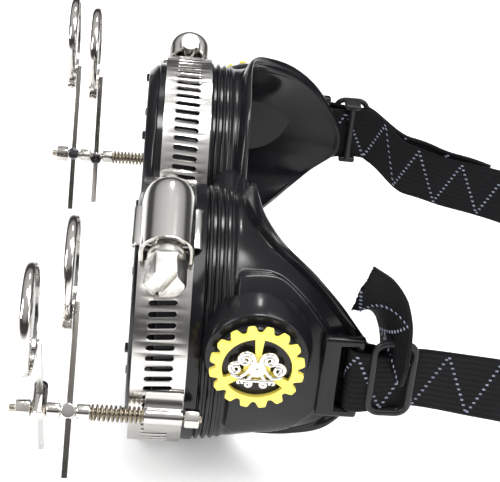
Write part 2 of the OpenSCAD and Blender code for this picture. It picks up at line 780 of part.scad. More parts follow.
function strap_faces(n) = concat(
  [for (i = [0:n - 2]) for (j = [0:3]) for (h = [0, 1])
    let (k = (j + 1) % 4, p = i * 4, q = p + 4) h == 0 ? [p + j, q + k, p + k] : [p + j, q + j, q + k]],
  [[0, 1, 2], [0, 2, 3]],
  [let (q = (n - 1) * 4) [q, q + 2, q + 1], let (q = (n - 1) * 4) [q, q + 3, q + 2]]);

module head_strap() {
  rings = strap_rings();
  color([0.12, 0.12, 0.15])
    polyhedron(points = [for (r = rings) each ring_of(r)], faces = strap_faces(len(rings)));
}

// Slider: two bars outside the strap, one inside it, and a rail over each edge
module slider(side) {
  a = turn_at(slider_back + slider_len / 2);
  p = line_at(a);
  heading = atan2(strap_reach * cos(a), -strap_x * sin(a)) - 90;
  clear = spread(slider_back) + strap_t / 2 + 0.12;
  bar_t = 1.3;
  high = strap_w + 0.6;
  rail = 1.8;
  color([0.05, 0.05, 0.05])
  mirror([side < 0 ? 1 : 0, 0, 0]) translate(p) rotate([0, 0, heading]) {
    for (m = [-1, 1]) {
      translate([-clear - bar_t, -slider_len / 2, m * (high / 2 + rail / 2) - rail / 2])
        cube([2 * clear + 2 * bar_t, slider_len, rail]);
      translate([clear, m * (slider_len - bar_w) / 2 - bar_w / 2, -high / 2 - tiny])
        cube([bar_t, bar_w, high + 2 * tiny]);
    }
    translate([-clear - bar_t, -bar_w / 2, -high / 2 - tiny]) cube([bar_t, bar_w, high + 2 * tiny]);
  }
}

goggle_body();
head_strap();
lens_ring(1);  // lens_ring_left
lens_ring(-1);  // lens_ring_right
main_lens(1);  // main_lens_left
main_lens(-1);  // main_lens_right
lens_gasket(1);  // lens_gasket_left
lens_gasket(-1);  // lens_gasket_right
clamp_band(1);  // clamp_band_left
clamp_band(-1);  // clamp_band_right
clamp_housing(1);  // clamp_housing_left
clamp_housing(-1);  // clamp_housing_right
worm_screw(1);  // worm_screw_left
worm_screw(-1);  // worm_screw_right
loupe_bracket(1);  // loupe_bracket_left
loupe_bracket(-1);  // loupe_bracket_right
loupe_axle(1);  // loupe_axle_left
loupe_axle(-1);  // loupe_axle_right
axle_nuts(1);  // axle_nuts_left
axle_nuts(-1);  // axle_nuts_right
loupe_spring(1);  // loupe_spring_left
loupe_spring(-1);  // loupe_spring_right
spacers(1);  // spacers_left
spacers(-1);  // spacers_right
block(1, 0);  // inner_block_left
block(-1, 0);  // inner_block_right
block(1, 1);  // outer_block_left
block(-1, 1);  // outer_block_right
cap(1, 0);  // inner_cap_left
cap(-1, 0);  // inner_cap_right
cap(1, 1);  // outer_cap_left
cap(-1, 1);  // outer_cap_right
loupe_rod(1, 0);  // inner_rod_left
loupe_rod(-1, 0);  // inner_rod_right
loupe_rod(1, 1);  // outer_rod_left
loupe_rod(-1, 1);  // outer_rod_right
loupe_rim(1, 0);  // inner_rim_left
loupe_rim(-1, 0);  // inner_rim_right
loupe_rim(1, 1);  // outer_rim_left
loupe_rim(-1, 1);  // outer_rim_right
rim_screw(1, 0);  // inner_rim_screw_left
rim_screw(-1, 0);  // inner_rim_screw_right
rim_screw(1, 1);  // outer_rim_screw_left
rim_screw(-1, 1);  // outer_rim_screw_right
loupe_lens(1, 0);  // inner_loupe_lens_left
loupe_lens(-1, 0);  // inner_loupe_lens_right
loupe_lens(1, 1);  // outer_loupe_lens_left
loupe_lens(-1, 1);  // outer_loupe_lens_right
gear_boss(1);  // gear_boss_left
gear_boss(-1);  // gear_boss_right
gear(1);  // gear_left
gear(-1);  // gear_right
filigree(1);  // filigree_left
filigree(-1);  // filigree_right
slider(1);  // slider_left
slider(-1);  // slider_right
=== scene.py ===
import math
import random

import bpy
from mathutils import Matrix, Vector


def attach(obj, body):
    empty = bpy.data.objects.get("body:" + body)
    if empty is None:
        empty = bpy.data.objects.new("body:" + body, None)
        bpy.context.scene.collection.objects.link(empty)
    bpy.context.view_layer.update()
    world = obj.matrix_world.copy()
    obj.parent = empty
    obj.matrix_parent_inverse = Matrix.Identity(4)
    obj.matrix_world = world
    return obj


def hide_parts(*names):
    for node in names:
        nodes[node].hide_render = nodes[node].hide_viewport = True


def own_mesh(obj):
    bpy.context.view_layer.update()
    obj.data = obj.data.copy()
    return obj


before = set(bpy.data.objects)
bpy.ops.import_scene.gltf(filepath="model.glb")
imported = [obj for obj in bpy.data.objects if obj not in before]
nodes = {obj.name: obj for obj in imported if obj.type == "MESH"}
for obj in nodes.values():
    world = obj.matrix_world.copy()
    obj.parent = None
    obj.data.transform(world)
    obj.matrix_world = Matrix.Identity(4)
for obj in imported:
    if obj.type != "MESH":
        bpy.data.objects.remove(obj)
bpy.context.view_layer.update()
bpy.ops.object.select_all(action="DESELECT")


# Camera: the photograph looks along the temple from the wearer's left, from above and
# from about 0.4 m away, with a long lens and a slight roll.
camera_turn = math.radians(85.87)
camera_rise = math.radians(30.58)
camera_roll = math.radians(5.97)
camera_far = 0.399
camera_aim = Vector((0, 0.01799, 0.03025))
camera_back = Vector((
    math.sin(camera_turn) * math.cos(camera_rise),
    -math.cos(camera_turn) * math.cos(camera_rise),
    math.sin(camera_rise)))
level_right = (-camera_back).cross(Vector((0, 0, 1))).normalized()
level_up = level_right.cross(-camera_back)
tilted_right = level_right * math.cos(camera_roll) + level_up * math.sin(camera_roll)
tilted_up = -level_right * math.sin(camera_roll) + level_up * math.cos(camera_roll)
camera_turned = Matrix((tilted_right, tilted_up, camera_back)).transposed().to_4x4()
bpy.ops.object.camera_add()
camera = bpy.context.object
camera.name = "camera"
camera.matrix_world = Matrix.Translation(camera_aim + camera_back * camera_far) @ camera_turned
camera.data.lens = 113
camera.data.sensor_width = 36
camera.data.clip_end = 20
bpy.context.scene.camera = camera
bpy.context.scene.view_settings.view_transform = "Standard"


# Surroundings: a white studio. Lamps and sky keep the light plain; what the camera sees
# behind the object is pure white, glass lets that white through, and metal mirrors a sky
# with darker bands. The paper floor keeps the object's shadow and is lifted to white.
def shader_nodes(tree):
    """Returns a short call that adds a node, with its settings and its input values."""
    def add(kind, inputs=None, **settings):
        made = tree.nodes.new(kind)
        for name, value in settings.items():
            setattr(made, name, value)
        for name, value in (inputs or {}).items():
            if isinstance(value, bpy.types.NodeSocket):
                tree.links.new(value, made.inputs[name])
            else:
                made.inputs[name].default_value = value
        return made
    return add


world = bpy.data.worlds.new("studio")
bpy.context.scene.world = world
world.use_nodes = True
world.node_tree.nodes.clear()
add = shader_nodes(world.node_tree)
direction = add("ShaderNodeTexCoord")
height = add("ShaderNodeSeparateXYZ", {0: direction.outputs["Generated"]})
sky = add("ShaderNodeValToRGB", {0: add("ShaderNodeMapRange", {
    0: height.outputs[2], 1: -1.0, 2: 1.0}).outputs[0]})
bands = [(0.0, 0.5), (0.5, 0.42), (0.54, 0.08), (0.70, 0.06), (0.78, 0.4), (1.0, 0.72)]
while len(sky.color_ramp.elements) < len(bands):
    sky.color_ramp.elements.new(0.5)
for stop, (place, level) in zip(sky.color_ramp.elements, bands):
    stop.position = place
    stop.color = (level, level, level * 1.01, 1)
light_path = add("ShaderNodeLightPath")
mirrored_sky = add("ShaderNodeMix", {0: light_path.outputs["Is Glossy Ray"],
                                     6: (0.72, 0.72, 0.73, 1), 7: sky.outputs[0]},
                   data_type="RGBA")
seen = add("ShaderNodeMix", {0: light_path.outputs["Is Camera Ray"],
                             6: mirrored_sky.outputs[2], 7: (1, 1, 1, 1)}, data_type="RGBA")
through = add("ShaderNodeMix", {0: light_path.outputs["Is Transmission Ray"],
                                6: seen.outputs[2], 7: (1, 1, 1, 1)}, data_type="RGBA")
backdrop = add("ShaderNodeBackground", {"Color": through.outputs[2], "Strength": 1.0})
out = add("ShaderNodeOutputWorld", {"Surface": backdrop.outputs[0]})

lamps = [
    ("soft_box_above", (0.1, 0.32, 0.62), (0.0, 0.03, 0.03), 0.36, 0.36, 2.2),
    ("skylight", (0.10, 0.05, 0.74), (-0.02, 0.02, 0.05), 0.20, 0.15, 1.9),
    ("skylight_strip", (-0.37, 0.05, 0.66), (-0.02, 0.02, 0.05), 0.05, 0.15, 0.7),
    ("window_left", (0.30, -0.52, 0.42), (0.0, 0.0, 0.03), 0.20, 0.34, 2.6),
    ("fill_behind", (0.25, 0.6, 0.3), (0.0, 0.05, 0.03), 0.35, 0.25, 1.0),
]
for name, place, aim, wide, tall, power in lamps:
    bpy.ops.object.light_add(type="AREA", location=place)
    lamp = bpy.context.object
    lamp.name = name
    lamp.data.shape = "RECTANGLE"
    lamp.data.size = wide
    lamp.data.size_y = tall
    lamp.data.energy = power
    lamp.rotation_euler = (Vector(place) - Vector(aim)).to_track_quat("Z", "Y").to_euler()

bpy.ops.mesh.primitive_plane_add(size=6, location=(0, 0, -0.0002))
floor = bpy.context.object
floor.name = "floor"
paper = bpy.data.materials.new("white_paper")
paper.use_nodes = True
paper.node_tree.nodes["Principled BSDF"].inputs["Base Color"].default_value = (0.95, 0.95, 0.95, 1)
paper.node_tree.nodes["Principled BSDF"].inputs["Roughness"].default_value = 0.6
paper.node_tree.nodes["Principled BSDF"].inputs["Specular IOR Level"].default_value = 0.0
add = shader_nodes(paper.node_tree)
lit = add("ShaderNodeMath", {0: add("ShaderNodeLightPath").outputs["Is Camera Ray"], 1: 0.22},
          operation="MULTIPLY")
paper.node_tree.nodes["Principled BSDF"].inputs["Emission Color"].default_value = (1, 1, 1, 1)
paper.node_tree.links.new(lit.outputs[0],
                          paper.node_tree.nodes["Principled BSDF"].inputs["Emission Strength"])
floor.data.materials.append(paper)
bpy.ops.object.select_all(action="DESELECT")

# Cup mouldings: each cup is one soft PVC shell, cast glossy black, with a grip seat under
# the clamp, four fine ribs, a smooth barrel and a skirt that ends in a double lip. The
# temple side carries a raised panel, and the ornament's pad stands on it.
CUP_PITCH = 69.0
AXIS_UP = 30.65
SKIRT_FROM = 12.9
SKIRT_R = 28.4
LIP_ZONE = 3.6
FLANGE_WIDE = 7.5
DRAWN_TO = 30.0
INNER_WALL_R = 27.3
TEMPLE_REACH = 37.0


def cup_place(side):
    """Takes millimetres in a cup's own frame (out to the temple, to the rear, up) to the world."""
    return (Matrix.Scale(0.001, 4) @ Matrix.Diagonal((side, 1, 1, 1))
            @ Matrix.Translation((CUP_PITCH / 2, 0, AXIS_UP)))


def side_name(side):
    return "left" if side > 0 else "right"


def pick(piece):
    bpy.ops.object.select_all(action="DESELECT")
    bpy.context.view_layer.objects.active = piece
    piece.select_set(True)


def edit(piece):
    pick(piece)
    bpy.ops.object.mode_set(mode="EDIT")
    bpy.ops.mesh.select_all(action="SELECT")


def leave_edit():
    bpy.ops.object.mode_set(mode="OBJECT")


def close_and_face_out(piece, near=1e-4):
    edit(piece)
    bpy.ops.mesh.remove_doubles(threshold=near)
    bpy.ops.mesh.normals_make_consistent(inside=False)
    leave_edit()


def turned(name, outline, steps):
    """Spins a closed outline of (radius, depth) about the cup's axis, as on a lathe."""
    bpy.ops.object.select_all(action="DESELECT")
    bpy.ops.mesh.primitive_circle_add(vertices=len(outline), radius=1, location=(0, 0, 0))
    piece = bpy.context.object
    piece.name = name
    for vertex, (radius, depth) in zip(piece.data.vertices, outline):
        vertex.co = (radius, depth, 0)
    edit(piece)
    bpy.ops.mesh.spin(steps=steps, angle=2 * math.pi, center=(0, 0, 0), axis=(0, 1, 0))
    leave_edit()
    close_and_face_out(piece)
    return piece


def apply_all(piece):
    pick(piece)
    for modifier in list(piece.modifiers):
        bpy.ops.object.modifier_apply(modifier=modifier.name)


def smooth_by_angle(piece, degrees=35):
    pick(piece)
    bpy.ops.object.shade_smooth_by_angle(angle=math.radians(degrees))


def put(piece, matrix):
    """Moves the mesh itself, so that the object stays at the origin."""
    piece.data.transform(matrix)
    if matrix.determinant() < 0:
        piece.data.flip_normals()
    piece.data.update()


def give(piece, material):
    piece.data.materials.clear()
    piece.data.materials.append(material)


def finish_piece(piece, material, place, body, node=None, degrees=35):
    """Gives a piece its material, place, smooth shading and body, and hides the node it replaces.
    """
    give(piece, material)
    put(piece, place)
    smooth_by_angle(piece, degrees)
    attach(piece, body)
    if node:
        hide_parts(node)


def blank(name):
    """A new material: its node adder, its shader and a link to the output."""
    made = bpy.data.materials.new(name)
    made.use_nodes = True
    made.node_tree.nodes.clear()
    add = shader_nodes(made.node_tree)
    shader = add("ShaderNodeBsdfPrincipled")
    add("ShaderNodeOutputMaterial", {"Surface": shader.outputs[0]})
    return made, add, shader


def wire(made, source, shader, socket):
    made.node_tree.links.new(source, shader.inputs[socket])


def noise(add, scale, detail):
    """A noise over the piece's own coordinates."""
    place = add("ShaderNodeTexCoord").outputs["Object"]
    return add("ShaderNodeTexNoise", {"Vector": place, "Scale": scale,
                                      "Detail": detail}).outputs[0]


def tint_between(add, factor, first, second):
    return add("ShaderNodeMix", {0: factor, 6: (*first, 1), 7: (*second, 1)},
               data_type="RGBA").outputs[2]


def ranged(add, source, low, high, to_low, to_high):
    return add("ShaderNodeMapRange", {0: source, 1: low, 2: high, 3: to_low,
                                      4: to_high}).outputs[0]


def relief_of(add, height, strength, distance):
    return add("ShaderNodeBump", {"Height": height, "Strength": strength,
                                  "Distance": distance}).outputs[0]


def gloss_black(name, colour, rough, spread, grain, bump):
    """Moulded black: a little uneven gloss, finger haze and a very fine skin."""
    made, add, shader = blank(name)
    haze = noise(add, 90.0, 4.0)
    lighter = [c * 1.6 + 0.002 for c in colour]
    wire(made, tint_between(add, haze, colour, lighter), shader, "Base Color")
    wire(made, ranged(add, haze, 0.35, 0.7, rough, rough + spread), shader, "Roughness")
    wire(made, relief_of(add, noise(add, grain, 2.0), bump, 0.0002), shader, "Normal")
    shader.inputs["Specular IOR Level"].default_value = 0.32
    return made


pvc = gloss_black("soft_pvc", (0.005, 0.005, 0.006), 0.14, 0.12, 700.0, 0.05)


def edge_at(angle):
    """The skirt's edge at an angle about the bore, 0 at the temple and 90 on top: how far
    back it lies and how far out. It is short over brow and cheek, long and flat at the temple."""
    stations = ((-180, 16.0, 27.4), (-120, 16.0, 27.0), (-80, 16.2, 26.2), (-60, 20.0, 25.4),
                (-40, 29.0, 26.2), (-25, 36.0, 26.8), (-10, 42.6, 23.2), (0, 44.5, 22.0),
                (18, 43.4, 23.2), (36, 37.2, 27.6), (50, 30.2, 30.0), (65, 21.6, 31.3),
                (82, 17.2, 31.9), (120, 16.3, 30.2), (180, 16.0, 27.4))
    degrees = (math.degrees(angle) + 180) % 360 - 180
    i = max(k for k in range(len(stations) - 1) if stations[k][0] <= degrees)
    before, a, b, after = (stations[min(max(k, 0), len(stations) - 1)]
                           for k in (i - 1, i, i + 1, i + 2))
    f = (degrees - a[0]) / (b[0] - a[0])
    found = []
    for c in (1, 2):
        lead = (b[c] - before[c]) / (b[0] - before[0]) if b[0] > before[0] else 0.0
        trail = (after[c] - a[c]) / (after[0] - a[0]) if after[0] > a[0] else 0.0
        wide = b[0] - a[0]
        found.append((1 + 2 * f) * (1 - f) ** 2 * a[c] + f * (1 - f) ** 2 * wide * lead
                     + f * f * (3 - 2 * f) * b[c] + f * f * (f - 1) * wide * trail)
    return found


def edge_back(angle):
    return edge_at(angle)[0]


def skirt_r(angle, back):
    """Radius of the skirt's outer face at a distance behind the clamp."""
    edge, out = edge_at(angle)
    part = (back - SKIRT_FROM) / (edge - SKIRT_FROM)
    return SKIRT_R + (out - SKIRT_R) * max(0.0, part) ** 1.6


def step(x):
    """A smooth step from 0 to 1."""
    x = min(1.0, max(0.0, x))
    return x * x * (3 - 2 * x)


def panel_raise(angle, back):
    """Height of the raised temple panel, which keeps off the ribs, the lip and brow and cheek."""
    degrees = math.degrees(math.atan2(math.sin(angle), math.cos(angle)))
    if abs(degrees) > 70:
        return 0.0
    inside = [back - SKIRT_FROM + 0.5, (edge_back(angle) - FLANGE_WIDE - back) * 0.8,
              (52 - degrees) * 0.5, (degrees + 34) * 0.5]
    soft = -math.log(sum(math.exp(-d / 1.1) for d in inside)) * 1.1
    return 0.95 * step(soft / 0.9 + 0.5)


def cup_outline():
    """Outline of the shell, closed, from the bore's front round the outside and back."""
    points = [(23.0, -7.6), (25.9, -7.6), (26.2, -7.3), (26.2, -5.0), (29.5, -5.0),
              (29.9, -4.7), (29.9, 5.0), (29.6, 5.3)]
    for foot, top in ((5.5, 29.7), (7.15, 29.55), (8.8, 29.3), (10.4, 28.95)):
        points += [(28.75, foot), (28.75, foot + 0.12), (top - 0.25, foot + 0.25),
                   (top, foot + 0.5), (top, foot + 0.85), (top - 0.25, foot + 1.1),
                   (28.75, foot + 1.25)]
    points += [(28.45, 12.0), (28.4, 12.4), (28.4, 12.7)]
    count = 36
    points += [(28.4, SKIRT_FROM + (DRAWN_TO - SKIRT_FROM) * i / count) for i in range(count + 1)]
    points += [(28.4, 30.35), (28.15, 30.55), (28.1, 30.8), (28.35, 31.05), (28.95, 31.35),
               (29.5, 31.75), (29.75, 32.3), (29.65, 32.85), (29.25, 33.3), (28.6, 33.55),
               (28.0, 33.5), (27.65, 33.25), (27.45, 33.2), (27.2, 33.3), (26.9, 33.55),
               (26.5, 33.6), (26.15, 33.4), (26.05, 33.0), (26.2, 32.4), (26.2, 31.5)]
    points += [(26.2, DRAWN_TO + 0.5 - (DRAWN_TO + 0.5 - SKIRT_FROM) * i / 22) for i in range(23)]
    points += [(26.3, 9), (26.3, 3), (26.3, -3.2), (25.9, -3.5), (23.3, -3.6), (23.0, -3.9)]
    return points


for side in (1, -1):
    cup = turned("cup_moulding_" + side_name(side), cup_outline(), 300)
    for vertex in cup.data.vertices:
        x, back, z = vertex.co
        if back < SKIRT_FROM - 3:
            continue
        angle = math.atan2(z, x)
        drawn_r = math.hypot(x, z)
        if back > SKIRT_FROM:
            edge = edge_back(angle)
            if back <= DRAWN_TO:
                part = (back - SKIRT_FROM) / (DRAWN_TO - SKIRT_FROM)
                back = SKIRT_FROM + (edge - LIP_ZONE - SKIRT_FROM) * part
            else:
                back = edge - LIP_ZONE + (back - DRAWN_TO)
            radius = skirt_r(angle, back) + drawn_r - SKIRT_R
        else:
            radius = drawn_r
        if drawn_r > INNER_WALL_R:
            radius += panel_raise(angle, back)
        vertex.co = (radius * math.cos(angle), back, radius * math.sin(angle))
    finish_piece(cup, pvc, cup_place(side), "frame",
                 "goggle_body" if side > 0 else None, 50)

# Ornament pads: the round foot that each moulding swells into under its temple ornament,
# cast in one with the cup, with a soft rim and a slightly dished wall.
PAD_BACK = 17.4
PAD_UP = 8.5
PAD_OUT = 30.3
for side in (1, -1):
    foot = [(0.01, -7), (12.6, -7), (12.3, -3.4), (11.7, -1.5), (11.4, -0.7), (11.2, -0.25),
            (11.0, -0.06), (10.7, 0), (5, 0), (0.01, 0)]
    pad = turned("ornament_pad_" + side_name(side), foot, 96)
    outward = (Matrix.Translation((PAD_OUT, PAD_BACK, PAD_UP))
               @ Matrix.Rotation(math.radians(-90), 4, "Z"))
    finish_piece(pad, pvc, cup_place(side) @ outward, "frame", None, 40)

# Temple tabs: a flat tongue of the same PVC, moulded onto each skirt's temple side. The
# strap passes through its slot and round the bar behind it.
TAB_OUT = 26.2
TAB_UP = 2.5


def cut_with(piece, tool, operation="DIFFERENCE"):
    change = piece.modifiers.new("cut", "BOOLEAN")
    change.object = tool
    change.operation = operation
    change.solver = "EXACT"
    apply_all(piece)
    bpy.data.objects.remove(tool)


for side in (1, -1):
    bpy.ops.object.select_all(action="DESELECT")
    bpy.ops.mesh.primitive_cube_add(size=1, location=(0, 0, 0))
    tab = bpy.context.object
    tab.name = "strap_tab_" + side_name(side)
    for vertex in tab.data.vertices:
        vertex.co = (TAB_OUT + vertex.co.x * 2.6, 36.6 + vertex.co.y * 9.2,
                     TAB_UP + vertex.co.z * 21)
    bpy.ops.mesh.primitive_cube_add(size=1, location=(0, 0, 0))
    slot_cut = bpy.context.object
    for vertex in slot_cut.data.vertices:
        vertex.co = (TAB_OUT + vertex.co.x * 8, 37.6 + vertex.co.y * 3.2,
                     TAB_UP + vertex.co.z * 16.8)
    cut_with(tab, slot_cut)
    round_off = tab.modifiers.new("edges", "BEVEL")
    round_off.width = 0.8
    round_off.segments = 4
    apply_all(tab)
    finish_piece(tab, pvc, cup_place(side), "frame", None, 40)

# Nose bridge: a soft saddle of the same PVC between the two barrels, thick at its roots
# and arched below to leave room for the nose.
bpy.ops.mesh.primitive_cylinder_add(vertices=40, radius=1, depth=2, location=(0, 0, 0))
bridge = bpy.context.object
bridge.name = "nose_bridge"
edit(bridge)
bpy.ops.mesh.select_all(action="DESELECT")
leave_edit()
for edge in bridge.data.edges:
    ends = [bridge.data.vertices[i].co for i in edge.vertices]
    edge.select = abs(ends[0].z - ends[1].z) > 1
bpy.ops.object.mode_set(mode="EDIT")
bpy.ops.mesh.subdivide_edgering(number_cuts=23)
leave_edit()
for vertex in bridge.data.vertices:
    along = vertex.co.z
    round_at = math.atan2(vertex.co.y, vertex.co.x)
    flare = abs(along) ** 2.4
    deep = 3.6 + 1.6 * flare
    tall = 3.6 + 4.0 * flare
    face = lambda c: math.copysign(abs(c) ** 0.72, c)
    vertex.co = (along * 10, 11.9 + deep * face(math.cos(round_at)),
                 AXIS_UP + 9.5 - 2.6 * abs(along) ** 2 + tall * face(math.sin(round_at)))
put(bridge, Matrix.Scale(0.001, 4))
close_and_face_out(bridge, 1e-6)
give(bridge, pvc)
smooth_by_angle(bridge, 60)
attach(bridge, "frame")

# Front rings: turned on over the barrels' fronts, in hard glossy black plastic, with a step,
# a cone and six grip lugs. Each holds its window against the gasket and turns with it.
ring_black = gloss_black("ring_plastic", (0.007, 0.007, 0.008), 0.12, 0.1, 900.0, 0.03)
RING_OUTLINE = [(26.45, -5.1), (28.4, -5.1), (28.6, -5.3), (28.6, -7.5), (28.45, -7.65),
                (28.2, -7.7), (28.05, -7.85), (28.1, -8.05), (28.3, -8.15), (28.2, -8.4),
                (26.6, -10.1), (26.2, -10.42), (25.8, -10.5), (23.5, -10.5), (23.15, -10.4),
                (23.0, -10.1), (23.0, -9.5), (24.45, -9.5), (24.45, -7.8), (26.45, -7.8)]
for side in (1, -1):
    ring = turned("front_ring_" + side_name(side), RING_OUTLINE, 160)
    for k in range(6):
        bpy.ops.mesh.primitive_cylinder_add(vertices=28, radius=1.1, depth=3.2,
                                            location=(0, 0, 0))
        lug = bpy.context.object
        lug.modifiers.new("edge", "BEVEL").width = 0.25
        lug.modifiers["edge"].segments = 3
        apply_all(lug)
        lug.data.transform(Matrix.Rotation(math.radians(-12 - 60 * k), 4, "Y")
                           @ Matrix.Translation((24.6, -9.6, 0))
                           @ Matrix.Rotation(math.pi / 2, 4, "X"))
        bpy.ops.object.select_all(action="DESELECT")
        lug.select_set(True)
        ring.select_set(True)
        bpy.context.view_layer.objects.active = ring
        bpy.ops.object.join()
    finish_piece(ring, ring_black, cup_place(side), "ring_" + side_name(side),
                 "lens_ring_" + side_name(side), 30)


# Clamp bands: rolled stainless strip with 78 slots pressed through it, each with a bright
# rounded edge. One slot's cell is drawn flat, repeated, wrapped round and given its thickness.
def metal(name, colour, rough, spread, streak=None, bump=0.04, dark=0.55, scale=60.0):
    """Bare metal: streaks along the rolling direction where given, and hazy patches."""
    made, add, shader = blank(name)
    haze = noise(add, scale, 5.0)
    place = add("ShaderNodeTexCoord").outputs["Object"]
    stretched = add("ShaderNodeMapping", {"Vector": place, "Scale": streak or (1, 1, 1)})
    lines = add("ShaderNodeTexNoise", {"Vector": stretched.outputs[0], "Scale": 900.0,
                                       "Detail": 3.0})
    darker = [c * dark for c in colour]
    wire(made, tint_between(add, haze, colour, darker), shader, "Base Color")
    wire(made, ranged(add, haze, 0.3, 0.72, rough, rough + spread), shader, "Roughness")
    wire(made, relief_of(add, lines.outputs[0], bump, 0.0001), shader, "Normal")
    shader.inputs["Metallic"].default_value = 1.0
    return made


band_steel = metal("band_steel", (0.72, 0.70, 0.67), 0.16, 0.14, (0.06, 1, 0.06), 0.25, 0.82)
SLOTS = 78
BAND_R = 29.95
CELL = 2 * math.pi * 30.3 / SLOTS


def piece_from(name, corners, edges, faces):
    made = bpy.data.meshes.new(name)
    made.from_pydata(corners, edges, faces)
    piece = bpy.data.objects.new(name, made)
    bpy.context.scene.collection.objects.link(piece)
    return piece


def stadium(half_long, radius, count):
    """Outline of a round-ended slot, count points on each end."""
    ends = []
    for end in (0, 1):
        for k in range(count):
            a = math.pi * (k / (count - 1) - 0.5) + math.pi * end
            ends.append((math.cos(a) * radius + (1 - 2 * end) * (half_long - radius),
                         math.sin(a) * radius))
    return ends


for side, first_slot, ahead in ((1, 68, 3.5), (-1, 35, 0)):
    inner = stadium(3.1, 0.575, 7)
    raised = stadium(3.42, 0.9, 7)
    outer = [(6.0, part * CELL / 2) for part in (-1, -0.66, -0.33, 0, 0.33, 0.66, 1)]
    outer += [(-x, -y) for x, y in outer]
    cells = []
    faces = []
    for k in range(SLOTS):
        start = len(cells)
        for loop, lift in ((inner, -0.06), (stadium(3.2, 0.68, 7), 0.05), (raised, 0.0),
                           (outer, 0.0)):
            cells += [(x, y + k * CELL, lift) for x, y in loop]
        for ring_no in range(3):
            for i in range(14):
                a = start + ring_no * 14 + i
                b = start + ring_no * 14 + (i + 1) % 14
                faces.append((a, b, b + 14, a + 14))
    band = piece_from("clamp_strip_" + side_name(side), cells, [], faces)
    for vertex in band.data.vertices:
        across, along, lift = vertex.co
        lean = math.tan(math.radians(4)) * across * (1 - step((abs(across) - 3.6) / 2.4))
        angle = math.radians(first_slot) + (along + lean) / CELL * 2 * math.pi / SLOTS
        radius = BAND_R + 0.7 + lift
        vertex.co = (radius * math.cos(angle), across, radius * math.sin(angle))
    close_and_face_out(band, 1e-3)
    wall = band.modifiers.new("thick", "SOLIDIFY")
    wall.thickness = 0.7
    wall.offset = -1
    apply_all(band)
    finish_piece(band, band_steel, cup_place(side) @ Matrix.Translation((0, -ahead, 0)),
                 "frame", "clamp_band_" + side_name(side), 40)


# Clamp cases: a pressed steel arch over the worm, with rounded shoulders that run into a
# small boss, open at the screw's head, and a saddle plate folded over both band edges.
case_steel = metal("case_steel", (0.82, 0.80, 0.76), 0.13, 0.1, (1, 1, 0.05), 0.1, 0.9, 25.0)
SCREW_OUT = 34.65
FOOT_OUT = 30.75
ARCH_HALF = 5.9
clamp_front = {1: 3.5, -1: 0.0}
housing_turn = {1: 68, -1: 35}


def warped_grid(name, cuts_u, cuts_v, shape):
    """A grid plane whose vertices are moved to shape(u, v), both running from 0 to 1."""
    bpy.ops.object.select_all(action="DESELECT")
    bpy.ops.mesh.primitive_grid_add(x_subdivisions=cuts_u, y_subdivisions=cuts_v, size=2,
                                    location=(0, 0, 0))
    piece = bpy.context.object
    piece.name = name
    for vertex in piece.data.vertices:
        vertex.co = shape((vertex.co.x + 1) / 2, (vertex.co.y + 1) / 2)
    return piece


def thicken(piece, thickness, offset=-1):
    wall = piece.modifiers.new("thick", "SOLIDIFY")
    wall.thickness = thickness
    wall.offset = offset
    wall.use_even_offset = True
    apply_all(piece)


def soften(piece, width, segments=3, degrees=40):
    edge = piece.modifiers.new("edges", "BEVEL")
    edge.width = width
    edge.segments = segments
    edge.limit_method = "ANGLE"
    edge.angle_limit = math.radians(degrees)


def join(parts, name):
    bpy.ops.object.select_all(action="DESELECT")
    for part in parts:
        part.select_set(True)
    bpy.context.view_layer.objects.active = parts[0]
    if len(parts) > 1:
        bpy.ops.object.join()
    parts[0].name = name
    return parts[0]


def round_bar(name, radius, low, high, sides=64, bevel=0.0, segments=3):
    """A cylinder along Z from low to high."""
    bpy.ops.object.select_all(action="DESELECT")
    bpy.ops.mesh.primitive_cylinder_add(vertices=sides, radius=radius, depth=high - low,
                                        location=(0, 0, 0))
    piece = bpy.context.object
    piece.name = name
    piece.data.transform(Matrix.Translation((0, 0, (low + high) / 2)))
    if bevel:
        soften(piece, bevel, segments, 50)
        apply_all(piece)
    return piece


def block_of(name, size, centre, bevel=0.0, segments=3):
    bpy.ops.object.select_all(action="DESELECT")
    bpy.ops.mesh.primitive_cube_add(size=1, location=(0, 0, 0))
    piece = bpy.context.object
    piece.name = name
    piece.data.transform(Matrix.Translation(centre) @ Matrix.Diagonal((*size, 1)))
    if bevel:
        soften(piece, bevel, segments)
        apply_all(piece)
    return piece


def arch_point(u):
    """A point of the arch's section as (across, out), with straight legs below a half round."""
    leg = SCREW_OUT - FOOT_OUT
    run = u * (2 * leg + math.pi * ARCH_HALF)
    if run < leg:
        return ARCH_HALF, FOOT_OUT + run
    if run > leg + math.pi * ARCH_HALF:
        return -ARCH_HALF, SCREW_OUT - (run - leg - math.pi * ARCH_HALF)
    turn = (run - leg) / ARCH_HALF
    return ARCH_HALF * math.cos(turn), SCREW_OUT + ARCH_HALF * math.sin(turn)


case_sections = [(-9.5, 1.0), (-9.2, 1.0), (-6, 1.0), (-2, 1.0), (1.5, 0.998), (3.2, 0.993),
                 (4.4, 0.98), (5.4, 0.958), (6.2, 0.927), (6.9, 0.885), (7.5, 0.83), (8.0, 0.765),
                 (8.4, 0.69), (8.7, 0.61), (8.9, 0.53), (9.05, 0.46), (9.25, 0.43), (9.85, 0.42),
                 (10.0, 0.40), (10.05, 0.38), (10.05, 0.02)]


def case_shape(u, v):
    along, shrink = case_sections[round(v * (len(case_sections) - 1))]
    across, out = arch_point(u)
    return (SCREW_OUT - 0.4 + (out - SCREW_OUT + 0.4) * shrink, across * shrink, along)


